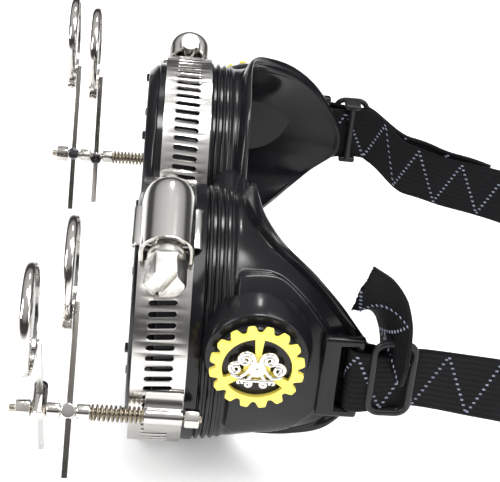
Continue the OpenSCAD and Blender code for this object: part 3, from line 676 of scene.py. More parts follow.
def saddle_shape(u, v):
    fold = [(-7.0, 29.98), (-7.0, 30.9), (-6.93, 31.22), (-6.7, 31.42), (-6.3, 31.5), (-3, 31.5),
            (3, 31.5), (6.3, 31.5), (6.7, 31.42), (6.93, 31.22), (7.0, 30.9), (7.0, 29.98)]
    across, out = fold[round(u * (len(fold) - 1))]
    along = (v - 0.5) * 10.7
    if out < 30.5:
        out += 0.5 * max(0.0, abs(along) - 4.6)
    turn = along / 31.5
    return (out * math.cos(turn), across, out * math.sin(turn))


def on_clamp(side):
    """Takes a clamp's own frame (out at the screw, back, along the screw) to the world."""
    return (cup_place(side) @ Matrix.Translation((0, -clamp_front[side], 0))
            @ Matrix.Rotation(math.radians(-housing_turn[side]), 4, "Y"))


for side in (1, -1):
    case = warped_grid("case", 44, len(case_sections) - 1, case_shape)
    close_and_face_out(case, 1e-4)
    thicken(case, 0.85, -1)
    soften(case, 0.12, 2, 60)
    apply_all(case)
    saddle = warped_grid("saddle", 11, 12, saddle_shape)
    close_and_face_out(saddle, 1e-5)
    thicken(saddle, 0.75, 1)
    soften(saddle, 0.16, 3, 60)
    apply_all(saddle)
    whole = join([case, saddle], "clamp_case_" + side_name(side))
    finish_piece(whole, case_steel, on_clamp(side), "frame",
                 "clamp_housing_" + side_name(side), 40)

# Worm screws: a machined hexagon head with a chamfer and a driver slot, a round collar that
# closes the case's mouth, and the worm inside the case.
screw_steel = metal("screw_steel", (0.80, 0.78, 0.74), 0.15, 0.12, None, 0.05, 0.85, 90.0)
for side in (1, -1):
    half = 9.5
    worm = [(0.01, -half - 2.6), (3.7, -half - 2.6), (4.0, -half - 2.5), (4.2, -half - 2.2),
            (4.2, -half - 0.4), (4.0, -half - 0.1), (2.4, -half - 0.05), (2.4, -7.6)]
    for k in range(5):
        foot = -7.4 + k * 2.44
        worm += [(2.8, foot), (2.85, foot + 0.35), (3.55, foot + 0.75), (3.55, foot + 1.35),
                 (2.85, foot + 1.75)]
    worm += [(2.4, 5.2), (2.4, half + 0.9), (0.01, half + 0.9)]
    turned_part = turned("worm", worm, 72)
    turned_part.data.transform(Matrix.Rotation(math.radians(90), 4, "X"))
    head = round_bar("head", 4.62, -half - 8.8, -half - 2.6, 6)
    cut_with(head, round_bar("chamfer", 4.55, -half - 8.8, -half + 2, 64, 0.6, 4), "INTERSECT")
    slot_tool = block_of("slot", (12, 1.2, 2.6), (0, 0, -half - 8.8))
    slot_tool.data.transform(Matrix.Rotation(math.radians(24), 4, "Z"))
    cut_with(head, slot_tool)
    soften(head, 0.15, 2, 30)
    apply_all(head)
    screw = join([turned_part, head], "worm_drive_" + side_name(side))
    finish_piece(screw, screw_steel, on_clamp(side) @ Matrix.Translation((SCREW_OUT, 0, 0)),
                 "screw_" + side_name(side), "worm_screw_" + side_name(side), 32)

# Loupe brackets: one strip of nickel-coloured sheet on each band, folded round the axle. Its
# two leaves lie on the band, and the lower one is longer with rounded corners.
AXLE_OUT = 33.6
HALF_BRACKET = 4.2
axle_turn = {1: -11, -1: -24}
loupe_front = {1: 1.8, -1: 4.0}
bracket_steel = metal("bracket_steel", (0.70, 0.68, 0.65), 0.15, 0.12, (1, 0.06, 1), 0.12, 0.75)


def on_axle(side):
    """Takes a loupe axle's own frame, y along the axle, to the world."""
    return (cup_place(side) @ Matrix.Translation((0, -loupe_front[side], 0))
            @ Matrix.Rotation(math.radians(-axle_turn[side]), 4, "Y")
            @ Matrix.Translation((AXLE_OUT, 0, 0)))


def bracket_path():
    """The sheet's middle line in a plane across the axle, from the upper leaf's end to the
    lower one's, measured from the axle."""
    lie = 31.15
    points = []
    for k in range(4):
        turn = math.radians(9 - k * 0.9)
        points.append((lie * math.cos(turn) - AXLE_OUT, lie * math.sin(turn)))
    for k in range(15):
        turn = math.radians(118 - k * 236 / 14)
        points.append((1.5 * math.cos(turn), 1.5 * math.sin(turn)))
    for k in range(9):
        turn = math.radians(-8.5 - k * 8.5 / 8)
        points.append((lie * math.cos(turn) - AXLE_OUT, lie * math.sin(turn)))
    return points


sheet_path = bracket_path()


def bracket_shape(u, v):
    place = sheet_path[round(v * (len(sheet_path) - 1))]
    end = sheet_path[-1]
    left = math.hypot(place[0] - end[0], place[1] - end[1])
    corner = 2.0
    trim = corner - math.sqrt(corner ** 2 - max(0.0, corner - left) ** 2)
    return (place[0], (u - 0.5) * 2 * (HALF_BRACKET - trim), place[1])


for side in (1, -1):
    leaf = warped_grid("bracket_sheet_" + side_name(side), 12, len(sheet_path) - 1,
                       bracket_shape)
    close_and_face_out(leaf, 1e-5)
    thicken(leaf, 0.82, 0)
    soften(leaf, 0.14, 2, 60)
    apply_all(leaf)
    finish_piece(leaf, bracket_steel, on_axle(side), "frame",
                 "loupe_bracket_" + side_name(side), 40)

# Loupe axles: a threaded rod that slides in the bracket's fold, with a chamfered hexagon nut
# at each end. Two plain tubes on it keep the arms apart.
axle_steel = metal("axle_steel", (0.52, 0.47, 0.38), 0.22, 0.15, None, 0.1, 0.6, 140.0)
nickel = metal("nickel", (0.78, 0.75, 0.71), 0.12, 0.12, None, 0.04, 0.75, 120.0)
SPRING_LEN = 11.6
BLOCK_R = 1.7
inner_front = HALF_BRACKET + 0.05 + SPRING_LEN + 0.05 + 3.0 + 0.05 + BLOCK_R
outer_front = inner_front + 2 * BLOCK_R + 0.1 + 3.0
nut_back = outer_front + BLOCK_R + 0.05
NUT_T = 3.2
rear_nut = HALF_BRACKET + 0.45
along_y = Matrix.Rotation(math.radians(-90), 4, "X")


def nut_piece(low):
    body = round_bar("nut", 3.8 / 2 / math.cos(math.radians(30)), low, low + NUT_T, 6)
    cut_with(body, round_bar("chamfer", 2.16, low, low + NUT_T, 48, 0.35, 3), "INTERSECT")
    soften(body, 0.08, 2, 30)
    apply_all(body)
    return body


for side in (1, -1):
    thread = [(0.01, -nut_back - NUT_T - 1.4), (0.6, -nut_back - NUT_T - 1.4),
              (0.85, -nut_back - NUT_T - 1.15)]
    pitch = 0.5
    start = -nut_back - NUT_T
    thread += [(0.85, start)]
    turns = int((rear_nut + NUT_T + 0.6 - start) / pitch)
    for k in range(turns):
        foot = start + k * pitch
        thread += [(0.86, foot + 0.02), (1.0, foot + pitch * 0.4), (1.0, foot + pitch * 0.6),
                   (0.86, foot + pitch * 0.98)]
    thread += [(0.8, start + turns * pitch + 0.05), (0.01, start + turns * pitch + 0.05)]
    axle = turned("threaded_axle_" + side_name(side), thread, 24)
    finish_piece(axle, axle_steel, on_axle(side), "axle_" + side_name(side),
                 "loupe_axle_" + side_name(side), 25)

    nuts = join([nut_piece(-nut_back - NUT_T), nut_piece(rear_nut)],
                "hex_nuts_" + side_name(side))
    finish_piece(nuts, nickel, on_axle(side) @ along_y, "axle_" + side_name(side),
                 "axle_nuts_" + side_name(side), 32)

    rings = []
    for low in (-inner_front + BLOCK_R + 0.05, -outer_front + BLOCK_R + 0.05):
        rings.append(round_bar("spacer", BLOCK_R, low, low + 3.0, 48, 0.3, 3))
    tubes = join(rings, "spacer_tubes_" + side_name(side))
    finish_piece(tubes, nickel, on_axle(side) @ along_y, "axle_" + side_name(side),
                 "spacers_" + side_name(side))

# Coil springs: round wire wound about the axle, between the bracket and the first tube. One
# end stays at the bracket. On the goggles the coils close up when the axle is pushed in; here
# they are drawn at rest.
spring_wire = metal("spring_wire", (0.40, 0.34, 0.25), 0.25, 0.15, None, 0.03, 0.6, 200.0)
WIRE_R = 0.25
COILS = 12


def spring_shape(u, v):
    turn = 2 * math.pi * COILS * v
    round_wire = 2 * math.pi * u
    radius = 1.65 + WIRE_R * math.cos(round_wire)
    run = min(1.0, max(0.0, (v - 0.04) / 0.92))
    back = -HALF_BRACKET - 0.05 - WIRE_R - (SPRING_LEN - 2 * WIRE_R) * run
    return (radius * math.cos(turn), back + WIRE_R * math.sin(round_wire),
            radius * math.sin(turn))


for side in (1, -1):
    spring = warped_grid("coil_" + side_name(side), 8, COILS * 18, spring_shape)
    close_and_face_out(spring, 1e-4)
    edit(spring)
    bpy.ops.mesh.fill_holes(sides=0)
    bpy.ops.mesh.normals_make_consistent(inside=False)
    leave_edit()
    finish_piece(spring, spring_wire, on_axle(side), "frame",
                 "loupe_spring_" + side_name(side), 60)
    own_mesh(spring)

# Loupe arms: each is a cross block that turns on the axle, with a dark cap on its end, and a
# square bar that slides through it and carries a split rim, pinched by a slotted screw.
dark_nickel = metal("dark_nickel", (0.20, 0.20, 0.21), 0.1, 0.08, None, 0.02, 0.6, 80.0)
# The square bars are all one bright steel. The darker of these two copies has painted shade in its
# colour, and the paler one has painted light.
bar_painted_shade = metal("bar_painted_shade", (0.36, 0.34, 0.31), 0.2, 0.14, (1, 1, 0.05), 0.12, 0.7)
bar_painted_light = metal("bar_painted_light", (0.74, 0.73, 0.71), 0.2, 0.14, (1, 1, 0.05), 0.12, 0.75)
rim_nickel = metal("rim_nickel", (0.72, 0.69, 0.65), 0.07, 0.08, None, 0.02, 0.8, 50.0)
rose_nickel = metal("rose_nickel", (0.80, 0.72, 0.66), 0.12, 0.1, None, 0.03, 0.8, 100.0)
BLOCK_FROM = -1.9
BLOCK_LEN = 7.0
ROD_GAP = 3.6
ROD_W = 1.3
RIM_R = 12.0
RIM_AHEAD = 1.9
# For each loupe: the lens's height, the length of bar below the block, and the lean.
loupe_pose = {("inner", 1): (32, 14.5, 40), ("outer", 1): (28, 21.5, -20),
              ("inner", -1): (31, 13, -20), ("outer", -1): (33, 16, -30)}
along_x = Matrix.Rotation(math.radians(90), 4, "Y")


def on_block(which, side):
    """Takes a loupe arm's own frame, z up the bar, to the world."""
    turn = math.radians(axle_turn[side])
    along = (inner_front if which == "inner" else outer_front) + loupe_front[side]
    lean = math.radians(loupe_pose[which, side][2])
    return (cup_place(side)
            @ Matrix.Translation((AXLE_OUT * math.cos(turn), -along, AXLE_OUT * math.sin(turn)))
            @ Matrix.Rotation(-lean, 4, "Y") @ Matrix.Rotation(math.pi, 4, "Z"))


for (which, side), (up, down, lean) in loupe_pose.items():
    tag = which + "_" + side_name(side)
    place = on_block(which, side)
    cross = round_bar("cross", BLOCK_R, BLOCK_FROM, BLOCK_FROM + BLOCK_LEN, 56, 0.35, 4)
    cross.data.transform(along_x)
    way = round_bar("way", 1.05, -5, 5, 32)
    way.data.transform(along_y)
    cut_with(cross, way)
    cut_with(cross, block_of("way", (1.4, 1.4, 8), (ROD_GAP, 0, 0)))
    finish_piece(cross, nickel, place, which + "_arm_" + side_name(side),
                 which + "_block_" + side_name(side))
    cross.name = "cross_block_" + tag

    knob = round_bar("end_cap_" + tag, BLOCK_R - 0.08, 0, 1.6, 48, 0.5, 5)
    knob.data.transform(Matrix.Translation((BLOCK_FROM + BLOCK_LEN + 0.05, 0, 0)) @ along_x)
    finish_piece(knob, dark_nickel, place, which + "_arm_" + side_name(side),
                 which + "_cap_" + side_name(side), 50)

    top = up - RIM_R + 4.5
    bar = block_of("square_bar_" + tag, (ROD_W, ROD_W, top + down),
                   (ROD_GAP, 0, (top - down) / 2), 0.12, 2)
    # The left cup's outer bar gets the copy with painted light; the other bars get the copy with
    # painted shade.
    finish_piece(bar, bar_painted_light if which == "outer" and side > 0 else bar_painted_shade, place,
                 which + "_loupe_" + side_name(side),
                 which + "_rod_" + side_name(side))

    at_rim = place @ Matrix.Translation((ROD_GAP, RIM_AHEAD, up))
    profile = [(10.9, -1.0), (11.0, -1.12), (11.35, -1.18), (11.6, -1.05), (11.84, -0.75),
               (11.96, -0.38), (12.0, 0), (11.96, 0.38), (11.84, 0.75), (11.6, 1.05),
               (11.35, 1.18), (11.0, 1.12), (10.9, 1.0), (10.9, 0.45), (11.32, 0.45),
               (11.32, -0.45), (10.9, -0.45)]
    hoop = turned("hoop", profile, 144)
    cut_with(hoop, block_of("split", (0.4, 5, 3), (0, 0, -RIM_R)))
    lugs = []
    for hand in (-1, 1):
        ear = block_of("lug", (1.45, 2.2, 2.3), (hand * 0.95, 0, -RIM_R - 0.72), 0.28, 3)
        lugs.append(ear)
    rim = join([hoop] + lugs, "rim_" + tag)
    finish_piece(rim, rim_nickel, at_rim, which + "_loupe_" + side_name(side),
                 which + "_rim_" + side_name(side), 30)

    head = round_bar("head", 1.05, -0.85, -0.03, 40, 0.22, 3)
    cut_with(head, block_of("slot", (0.32, 4, 0.7), (0, 0, -0.85)))
    shank = round_bar("shank", 0.55, -0.2, 3.9, 24, 0.1, 2)
    pinch = join([head, shank], "pinch_screw_" + tag)
    finish_piece(pinch, rose_nickel,
                 at_rim @ Matrix.Translation((-1.7, 0, -RIM_R - 1.0)) @ along_x,
                 which + "_loupe_" + side_name(side),
                 which + "_rim_screw_" + side_name(side))


# Glass: the main windows and the magnifiers keep their solids' shapes and get clear glass
# with a faint tint. The gaskets behind the windows get plain black rubber.
def clear_glass(name, tint, ior):
    """Thin clear glass: seen through almost straight, with a reflection that grows at edges."""
    made = bpy.data.materials.new(name)
    made.use_nodes = True
    made.node_tree.nodes.clear()
    add = shader_nodes(made.node_tree)
    smear = ranged(add, noise(add, 60.0, 3.0), 0.3, 0.8, 0.0, 0.05)
    see = add("ShaderNodeBsdfTransparent", {"Color": (*tint, 1)})
    shine = add("ShaderNodeBsdfGlossy", {"Color": (1, 1, 1, 1), "Roughness": smear})
    edge = add("ShaderNodeFresnel", {"IOR": ior})
    mix = add("ShaderNodeMixShader", {0: edge.outputs[0], 1: see.outputs[0],
                                      2: shine.outputs[0]})
    add("ShaderNodeOutputMaterial", {"Surface": mix.outputs[0]})
    return made


window_glass = clear_glass("window_glass", (0.93, 0.95, 0.95), 1.45)
magnifier_glass = clear_glass("magnifier_glass", (0.95, 0.96, 0.965), 1.35)
gasket_rubber = gloss_black("gasket_rubber", (0.02, 0.02, 0.02), 0.6, 0.2, 300.0, 0.1)
for side in (1, -1):
    give(nodes["main_lens_" + side_name(side)], window_glass)
    give(nodes["lens_gasket_" + side_name(side)], gasket_rubber)
    for which in ("inner", "outer"):
        give(nodes[which + "_loupe_lens_" + side_name(side)], magnifier_glass)

# Gear ornaments: a black glossy boss on the pad, a flat gear of pale gold with sixteen round
# teeth and three spokes, and a cast silver scroll ornament pinned over its hub.
boss_black = gloss_black("boss_plastic", (0.009, 0.009, 0.010), 0.1, 0.08, 500.0, 0.03)
GEAR_R = 10.3
GEAR_ROOT = 8.75
GEAR_OPEN = 7.55
GEAR_T = 1.2
BOSS_H = 2.4


def on_pad(side):
    """Takes an ornament's own frame, z out of the pad, to the world."""
    return (cup_place(side) @ Matrix.Translation((PAD_OUT, PAD_BACK, PAD_UP))
            @ Matrix.Rotation(math.pi / 2, 4, "Z") @ Matrix.Rotation(math.pi / 2, 4, "X"))


gold, add, shader = blank("gear_gold")
wear = noise(add, 220.0, 5.0)
wire(gold, tint_between(add, wear, (1.0, 0.87, 0.19), (0.97, 0.78, 0.12)), shader, "Base Color")
wire(gold, ranged(add, wear, 0.3, 0.7, 0.3, 0.45), shader, "Roughness")
shader.inputs["Metallic"].default_value = 0.12


def gear_loops():
    """The gear's outer outline, then the outlines of its three windows."""
    outer = []
    for k in range(16 * 18):
        turn = 2 * math.pi * k / (16 * 18)
        wave = (1 + math.cos(16 * (turn - math.radians(11.25)))) / 2
        radius = GEAR_ROOT + (GEAR_R - GEAR_ROOT) * step(min(1.0, wave * 1.25))
        outer.append((radius * math.cos(turn), radius * math.sin(turn)))
    loops = [outer]
    for middle in (30, 150, 270):
        window = []
        wide = 60 - math.degrees(math.asin(1.0 / GEAR_OPEN))
        narrow = 60 - math.degrees(math.asin(0.6 / 2.9))
        for k in range(41):
            turn = math.radians(middle - wide + 2 * wide * k / 40)
            window.append((GEAR_OPEN * math.cos(turn), GEAR_OPEN * math.sin(turn)))
        for k in range(17):
            turn = math.radians(middle + narrow - 2 * narrow * k / 16)
            window.append((2.9 * math.cos(turn), 2.9 * math.sin(turn)))
        loops.append(window)
    return loops


for side in (1, -1):
    boss = round_bar("gear_boss_" + side_name(side) + "_turned", 9.4, 0.05, BOSS_H, 96, 0.7, 5)
    finish_piece(boss, boss_black, on_pad(side), "frame",
                 "gear_boss_" + side_name(side), 40)

    corners, edges = [], []
    for loop in gear_loops():
        first = len(corners)
        corners += [(x, y, 0) for x, y in loop]
        edges += [(first + i, first + (i + 1) % len(loop)) for i in range(len(loop))]
    wheel = piece_from("gear_wheel_" + side_name(side), corners, edges, [])
    edit(wheel)
    bpy.ops.mesh.fill(use_beauty=True)
    bpy.ops.mesh.normals_make_consistent(inside=False)
    bpy.ops.mesh.extrude_region_move(TRANSFORM_OT_translate={"value": (0, 0, GEAR_T)})
    bpy.ops.mesh.select_all(action="SELECT")
    bpy.ops.mesh.normals_make_consistent(inside=False)
    leave_edit()
    soften(wheel, 0.16, 3, 50)
    apply_all(wheel)
    finish_piece(wheel, gold, on_pad(side) @ Matrix.Translation((0, 0, BOSS_H + 0.05)), "frame",
                 "gear_" + side_name(side), 40)

silver, add, shader = blank("antique_silver")
pointed = add("ShaderNodeNewGeometry").outputs["Pointiness"]
raised = ranged(add, pointed, 0.44, 0.53, 0.0, 1.0)
tint = tint_between(add, raised, (0.045, 0.042, 0.04), (0.90, 0.88, 0.84))
gloss = ranged(add, noise(add, 420.0, 4.0), 0.3, 0.7, 0.16, 0.34)
wire(silver, tint, shader, "Base Color")
wire(silver, gloss, shader, "Roughness")
shader.inputs["Metallic"].default_value = 1.0


def scroll_points(middle, start, turns, r_from, r_to, count=40):
    """A spiral in the ornament's plane, from its outer end inwards; start is in degrees."""
    points = []
    for k in range(count + 1):
        part = k / count
        turn = math.radians(start) + turns * 2 * math.pi * part
        radius = r_from + (r_to - r_from) * part ** 0.85
        points.append((middle[0] + radius * math.cos(turn),
                       middle[1] + radius * math.sin(turn)))
    return points


def bar_along(points, radii, resolution, closed=False):
    """A round bar along points, with a radius at each; a closed one is a loop."""
    curve = bpy.data.curves.new("bar", "CURVE")
    curve.dimensions = "3D"
    curve.bevel_depth = 1.0
    curve.bevel_resolution = resolution
    curve.use_fill_caps = not closed
    spline = curve.splines.new("POLY")
    spline.points.add(len(points) - 1)
    spline.use_cyclic_u = closed
    for station, point, radius in zip(spline.points, points, radii):
        station.co = (*point, 1)
        station.radius = radius
    made = bpy.data.objects.new("bar", curve)
    bpy.context.scene.collection.objects.link(made)
    pick(made)
    bpy.ops.object.convert(target="MESH")
    return bpy.context.object


def cast_bar(points, thick_from, thick_to, low):
    """A bar in the ornament's plane, half sunk in what lies under it, tapering to its end."""
    last = len(points) - 1
    radii = [thick_from + (thick_to - thick_from) * k / last for k in range(last + 1)]
    return bar_along([(x, y, low) for x, y in points], radii, 4)


ORNAMENT_LOW = BOSS_H + GEAR_T + 0.1
ORNAMENT_WIDER = 1.12
for side in (1, -1):
    parts = []
    for hand in (-1, 1):
        flip = lambda way: [(hand * x, y) for x, y in way]
        stem = [(0.25, -1.4), (0.35, -0.2), (0.7, 1.0), (1.1, 2.0)]
        parts.append(cast_bar(flip(stem), 0.34, 0.42, ORNAMENT_LOW + 0.42))
        big = scroll_points((2.35, 2.35), 195, -1.9, 1.75, 0.2)
        parts.append(cast_bar(flip(big), 0.46, 0.3, ORNAMENT_LOW + 0.42))
        outer = scroll_points((4.15, 0.1), 120, -1.6, 1.45, 0.25)
        parts.append(cast_bar(flip(outer), 0.4, 0.24, ORNAMENT_LOW + 0.38))
        arm = [(0.4, 0.6), (1.5, -0.1), (2.3, -1.1), (3.0, -1.75), (4.0, -1.7), (4.9, -1.2)]
        parts.append(cast_bar(flip(arm), 0.42, 0.3, ORNAMENT_LOW + 0.4))
        leg = [(0.1, 0.3), (0.8, -0.9), (1.6, -2.1)]
        parts.append(cast_bar(flip(leg), 0.32, 0.38, ORNAMENT_LOW + 0.5))
        foot = scroll_points((1.55, -3.35), 80, 1.25, 0.85, 0.2, 24)
        parts.append(cast_bar(flip(foot), 0.36, 0.24, ORNAMENT_LOW + 0.36))
        tip = scroll_points((3.2, -3.0), 200, -0.9, 0.6, 0.2, 20)
        parts.append(cast_bar(flip(tip), 0.32, 0.2, ORNAMENT_LOW + 0.36))
    parts.append(cast_bar([(-3.2, -2.35), (-1.6, -2.5), (0, -2.45), (1.6, -2.5), (3.2, -2.35)],
                          0.36, 0.36, ORNAMENT_LOW + 0.42))
    plate = round_bar("plate", 1.75, ORNAMENT_LOW, ORNAMENT_LOW + 0.4, 32, 0.1, 2)
    pin = round_bar("pin", 1.1, 1.2, ORNAMENT_LOW + 0.2, 32)
    ornament = join(parts + [plate, pin], "scroll_ornament_" + side_name(side))
    wider = Matrix.Diagonal((ORNAMENT_WIDER, ORNAMENT_WIDER, 1, 1))
    finish_piece(ornament, silver, on_pad(side) @ wider, "frame",
                 "filigree_" + side_name(side), 60)

# Head strap: ribbed black elastic, its ends wrapped round the tabs' bars and led back through
# the sliders. The left tail stands up, twisted and turned forward; the right one lies along.
STRAP_T = 1.1
STRAP_HALF = 8.0
STRAP_X = CUP_PITCH / 2 + TAB_OUT
BAR_BACK = TEMPLE_REACH + 3.1
STRAP_REACH = 112.0
SLIDER_MIDDLE = 7.4
RIGHT_TAIL = 38.0
RIGHT_DROOP = 8.0
STRAP_TOP = AXIS_UP + TAB_UP
STRAP_LOW = 8.1
SLIDER_END = 12.2
LAYER = 0.63
WRAP_R = 2.1
RIBS = 11
RIB_HEIGHT = 0.13


def strap_line(run, drop=0.0):
    """A point of the strap's middle line at a run behind the tab's bar, and its outward way."""
    turn = run / STRAP_REACH
    high_end, low_end = SLIDER_END / STRAP_REACH, math.radians(52)
    height = STRAP_TOP + (STRAP_LOW - STRAP_TOP) * step(
        (min(turn, math.pi - turn) - high_end) / (low_end - high_end))
    height -= drop * step((run - 11) / 15) * (1 - step((run - 34) / 30))
    point = Vector((STRAP_X * math.cos(turn), BAR_BACK + STRAP_REACH * math.sin(turn), height))
    way = Vector((STRAP_REACH * math.cos(turn), STRAP_X * math.sin(turn), 0)).normalized()
    return point, way


def strap_spread(run):
    """How far each layer lies from the middle line, between the bar and the slider's end."""
    return WRAP_R + (LAYER - WRAP_R) * step(run / SLIDER_END)


def pinched_half(run):
    """Half of the strap's width, a little less where the slider pinches it."""
    return STRAP_HALF * (1 - 0.09 * math.exp(-((run - SLIDER_MIDDLE) / 5.0) ** 2))


def half_strap(tail, drop):
    """Stations (middle, outward, width way, half width) from a tail's tip to the back."""
    upright = Vector((0, 0, 1))
    stations = []
    if tail:
        for k in range(35):
            run = SLIDER_END + tail * (1 - k / 34)
            point, way = strap_line(run, 0.8 * drop)
            lift = 0.6 * math.sin(run * 0.21) - 0.3 * step((run - 20) / 20)
            out = LAYER + 0.45 + 0.4 * step((run - SLIDER_END) / tail)
            lean = (upright + way * 0.10 * math.sin(run * 0.3)).normalized()
            stations.append((point + way * out + Vector((0, 0, lift)), way, lean,
                             STRAP_HALF * 0.97))
    for k in range(13):
        run = SLIDER_END * (1 - k / 12)
        if tail and k == 0:
            continue
        point, way = strap_line(run)
        if run > 0.5:
            stations.append((point + way * strap_spread(run), way, upright, pinched_half(run)))
    for k in range(17):
        turn = math.pi * k / 16
        way = Vector((math.cos(turn), -math.sin(turn), 0))
        stations.append((strap_line(0)[0] + way * WRAP_R, way, upright, STRAP_HALF * 0.98))
    for k in range(1, 13):
        run = SLIDER_END * k / 12
        point, way = strap_line(run)
        stations.append((point - way * strap_spread(run), -way, upright, pinched_half(run)))
    last = math.pi / 2 * STRAP_REACH
    for k in range(1, 133):
        run = SLIDER_END + (last - SLIDER_END) * k / 132
        point, way = strap_line(run, drop)
        wave = 0.35 * math.sin(run * 0.19) * (1 - step((run - 60) / 60))
        lean = (upright + way * 0.06 * math.sin(run * 0.13)).normalized()
        stations.append((point - way * LAYER + Vector((0, 0, wave)), -way, lean, STRAP_HALF))
    return stations


def mirrored(stations):
    flip = lambda v: Vector((-v.x, v.y, v.z))
    return [(flip(p), flip(n), flip(w), h) for p, n, w, h in stations]


def ribbed_ribbon(name, stations, ragged=0.25):
    """A ribbon with lengthwise ribs on both faces, through stations, with frayed ends."""
    across = RIBS * 4
    ring = 2 * (across + 1)
    chance = random.Random(7)
    frays = [chance.uniform(-1, 1) for _ in range(across + 1)]
    corners, faces = [], []
    for number, (middle, out, width, half) in enumerate(stations):
        end = {0: 1, len(stations) - 1: -1}.get(number, 0)
        along = out.cross(width)
        for face in (1, -1):
            for k in range(across + 1):
                j = k if face > 0 else across - k
                part = j / across * 2 - 1
                edge = 1 - 0.5 * step((abs(part) - 0.955) / 0.045)
                height = (STRAP_T / 2 - RIB_HEIGHT * (0.5 + 0.5 * math.cos(
                    2 * math.pi * RIBS * j / across))) * edge
                spot = middle + width * part * half + out * face * height
                spot += along * end * ragged * frays[j]
                corners.append(tuple(spot * 0.001))
    for row in range(len(stations) - 1):
        for k in range(ring):
            a, b = row * ring + k, row * ring + (k + 1) % ring
            faces.append((a, b, b + ring, a + ring))
    faces.append(tuple(range(ring)))
    faces.append(tuple(range(len(corners) - 1, len(corners) - ring - 1, -1)))
    piece = piece_from(name, corners, [], faces)
    edit(piece)
    bpy.ops.mesh.normals_make_consistent(inside=False)
    leave_edit()
    smooth_by_angle(piece, 50)
    return piece


def stitch_line(stations, period=13.0, gap=1.45, reach=0.90):
    """Corners and faces of small pale stitches that zigzag from edge to edge on both faces."""
    corners, faces = [], []
    gone = 0.0
    due = 0.4
    for (p0, n0, w0, h0), (p1, n1, w1, h1) in zip(stations, stations[1:]):
        length = (p1 - p0).length
        while due < gone + length and length > 1e-6:
            part = (due - gone) / length
            middle, out, width = p0.lerp(p1, part), n0.lerp(n1, part), w0.lerp(w1, part)
            half = h0 + (h1 - h0) * part
            phase = due / period % 1.0
            place = reach * (4 * abs(phase - 0.5) - 1)
            along = (p1 - p0).normalized()
            for face in (1, -1):
                spot = middle + width * place * half + out * face * (STRAP_T / 2 - 0.02)
                first = len(corners)
                for x in (-1, 1):
                    for y in (-1, 1):
                        for z in (0, 1):
                            size = 1.0 if z == 0 else 0.62
                            corner = (spot + along * x * 0.36 * size
                                      + width * y * 0.22 * size + out * face * 0.16 * z)
                            corners.append(tuple(corner * 0.001))
                faces += [tuple(first + i for i in quad) for quad in
                          ((0, 1, 3, 2), (4, 6, 7, 5), (0, 4, 5, 1), (2, 3, 7, 6), (1, 5, 7, 3),
                           (0, 2, 6, 4))]
            due += gap / math.sqrt(1 + (4 * reach * STRAP_HALF / period) ** 2)
        gone += length
    return corners, faces


def raised_tail():
    """Stations of the left strap's free tail, out of the slider's top and forward."""
    way = [Vector(p) for p in ((61.8, 47.4, 37.0), (62.0, 47.2, 41.5), (61.9, 46.7, 45.8),
                               (61.4, 45.8, 49.6), (60.7, 44.2, 52.4), (59.9, 41.9, 54.3),
                               (59.0, 38.9, 55.2))]
    wide = [Vector(w) for w in ((0.97, 0.22, 0.0), (0.95, 0.26, 0.0), (0.88, 0.30, 0.25),
                                (0.72, 0.26, 0.60), (0.52, 0.14, 0.84), (0.38, 0.04, 0.92),
                                (0.30, 0.0, 0.95))]
    stations = []
    count = 36
    for k in range(count + 1):
        part = k / count * (len(way) - 1)
        i = min(len(way) - 2, int(part))
        f = part - i
        before, after = way[max(0, i - 1)], way[min(len(way) - 1, i + 2)]
        a, b = way[i], way[i + 1]
        spot = 0.5 * (2 * a + (b - before) * f + (2 * before - 5 * a + 4 * b - after) * f ** 2
                      + (3 * a - before - 3 * b + after) * f ** 3)
        ahead = ((b - before) * (1 - f) + (after - a) * f).normalized()
        width = wide[i].lerp(wide[i + 1], f)
        width = (width - ahead * width.dot(ahead)).normalized()
        stations.append((spot, ahead.cross(width), width, STRAP_HALF * (0.86 + 0.14 * f if i == 0
                                                                         else 1.0)))
    return stations


weave, add, shader = blank("ribbed_elastic")
lint = noise(add, 160.0, 4.0)
tint = tint_between(add, lint, (0.0015, 0.0015, 0.002), (0.005, 0.005, 0.0065))
threads = noise(add, 2600.0, 2.0)
wire(weave, tint, shader, "Base Color")
wire(weave, relief_of(add, threads, 0.35, 0.0002), shader, "Normal")
shader.inputs["Roughness"].default_value = 0.62
shader.inputs["Specular IOR Level"].default_value = 0.15

thread_pale, add, shader = blank("pale_thread")
twist = noise(add, 500.0, 2.0)
tint = tint_between(add, twist, (0.10, 0.12, 0.19), (0.34, 0.37, 0.46))
wire(thread_pale, tint, shader, "Base Color")
shader.inputs["Roughness"].default_value = 0.5

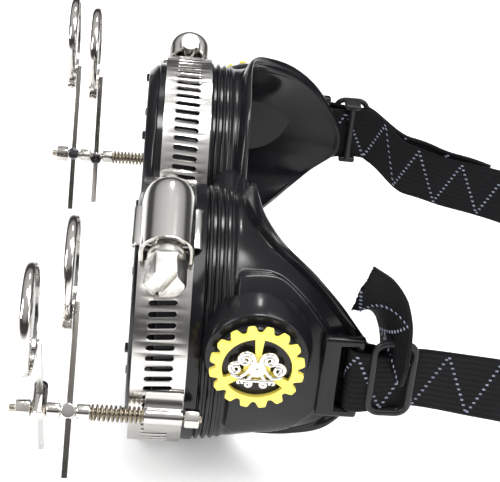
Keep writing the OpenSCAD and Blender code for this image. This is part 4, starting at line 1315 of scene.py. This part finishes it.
left_half = half_strap(0, 0.0)
right_half = mirrored(half_strap(RIGHT_TAIL, RIGHT_DROOP))
whole_way = left_half + right_half[-2::-1]
tail_way = raised_tail()
strap = ribbed_ribbon("strap_webbing", whole_way)
give(strap, weave)
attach(strap, "frame")
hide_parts("head_strap")
tail = ribbed_ribbon("strap_tail_left", tail_way, 0.45)
give(tail, weave)
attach(tail, "frame")
for name, way in (("strap_stitches", whole_way), ("tail_stitches", tail_way)):
    corners, faces = stitch_line(way)
    stitches = piece_from(name, corners, [], faces)
    close_and_face_out(stitches, 1e-7)
    give(stitches, thread_pale)
    smooth_by_angle(stitches, 30)
    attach(stitches, "frame")

# Sliders: a loop of round satin bar outside the strap, a bar inside it, and a rounded rail
# over each edge that joins the two. They hold the strap's folded end.
slider_satin = gloss_black("slider_plastic", (0.008, 0.008, 0.009), 0.30, 0.12, 400.0, 0.08)
LOOP_OUT = 2.45
LOOP_R = 0.78
RAISED = {1: 1.8, -1: 0.5}
for side in (1, -1):
    middle, way = strap_line(SLIDER_MIDDLE)
    heading = math.atan2(way.y, way.x)
    half_long, half_high, corner = 4.4, 9.2 if side > 0 else 8.2, 2.6
    loop = []
    for cx, cz, start in ((1, 1, 0), (-1, 1, 90), (-1, -1, 180), (1, -1, 270)):
        for k in range(9):
            turn = math.radians(start + 90 * k / 8)
            loop.append((cx * (half_long - corner) + corner * math.cos(turn),
                         cz * (half_high - corner) + corner * math.sin(turn)))
    outer = bar_along([(LOOP_OUT, along, high) for along, high in loop], [LOOP_R] * len(loop), 5,
                      True)
    parts = [outer]
    for hand in (-1, 1):
        parts.append(block_of("rail", (5.7, 4.6, 1.5), (-0.35, 0, hand * (half_high + 0.05)),
                              0.6, 4))
    inner_bar = round_bar("inner_bar", 0.85, -half_high, half_high, 32)
    inner_bar.data.transform(Matrix.Translation((-2.75, 0, 0)))
    parts.append(inner_bar)
    slider = join(parts, "strap_slider_" + side_name(side))
    raised = Vector((0, 0, RAISED[side]))
    place = (Matrix.Scale(0.001, 4) @ Matrix.Diagonal((side, 1, 1, 1))
             @ Matrix.Translation(middle + raised) @ Matrix.Rotation(heading, 4, "Z"))
    finish_piece(slider, slider_satin, place, "frame",
                 "slider_" + side_name(side), 40)
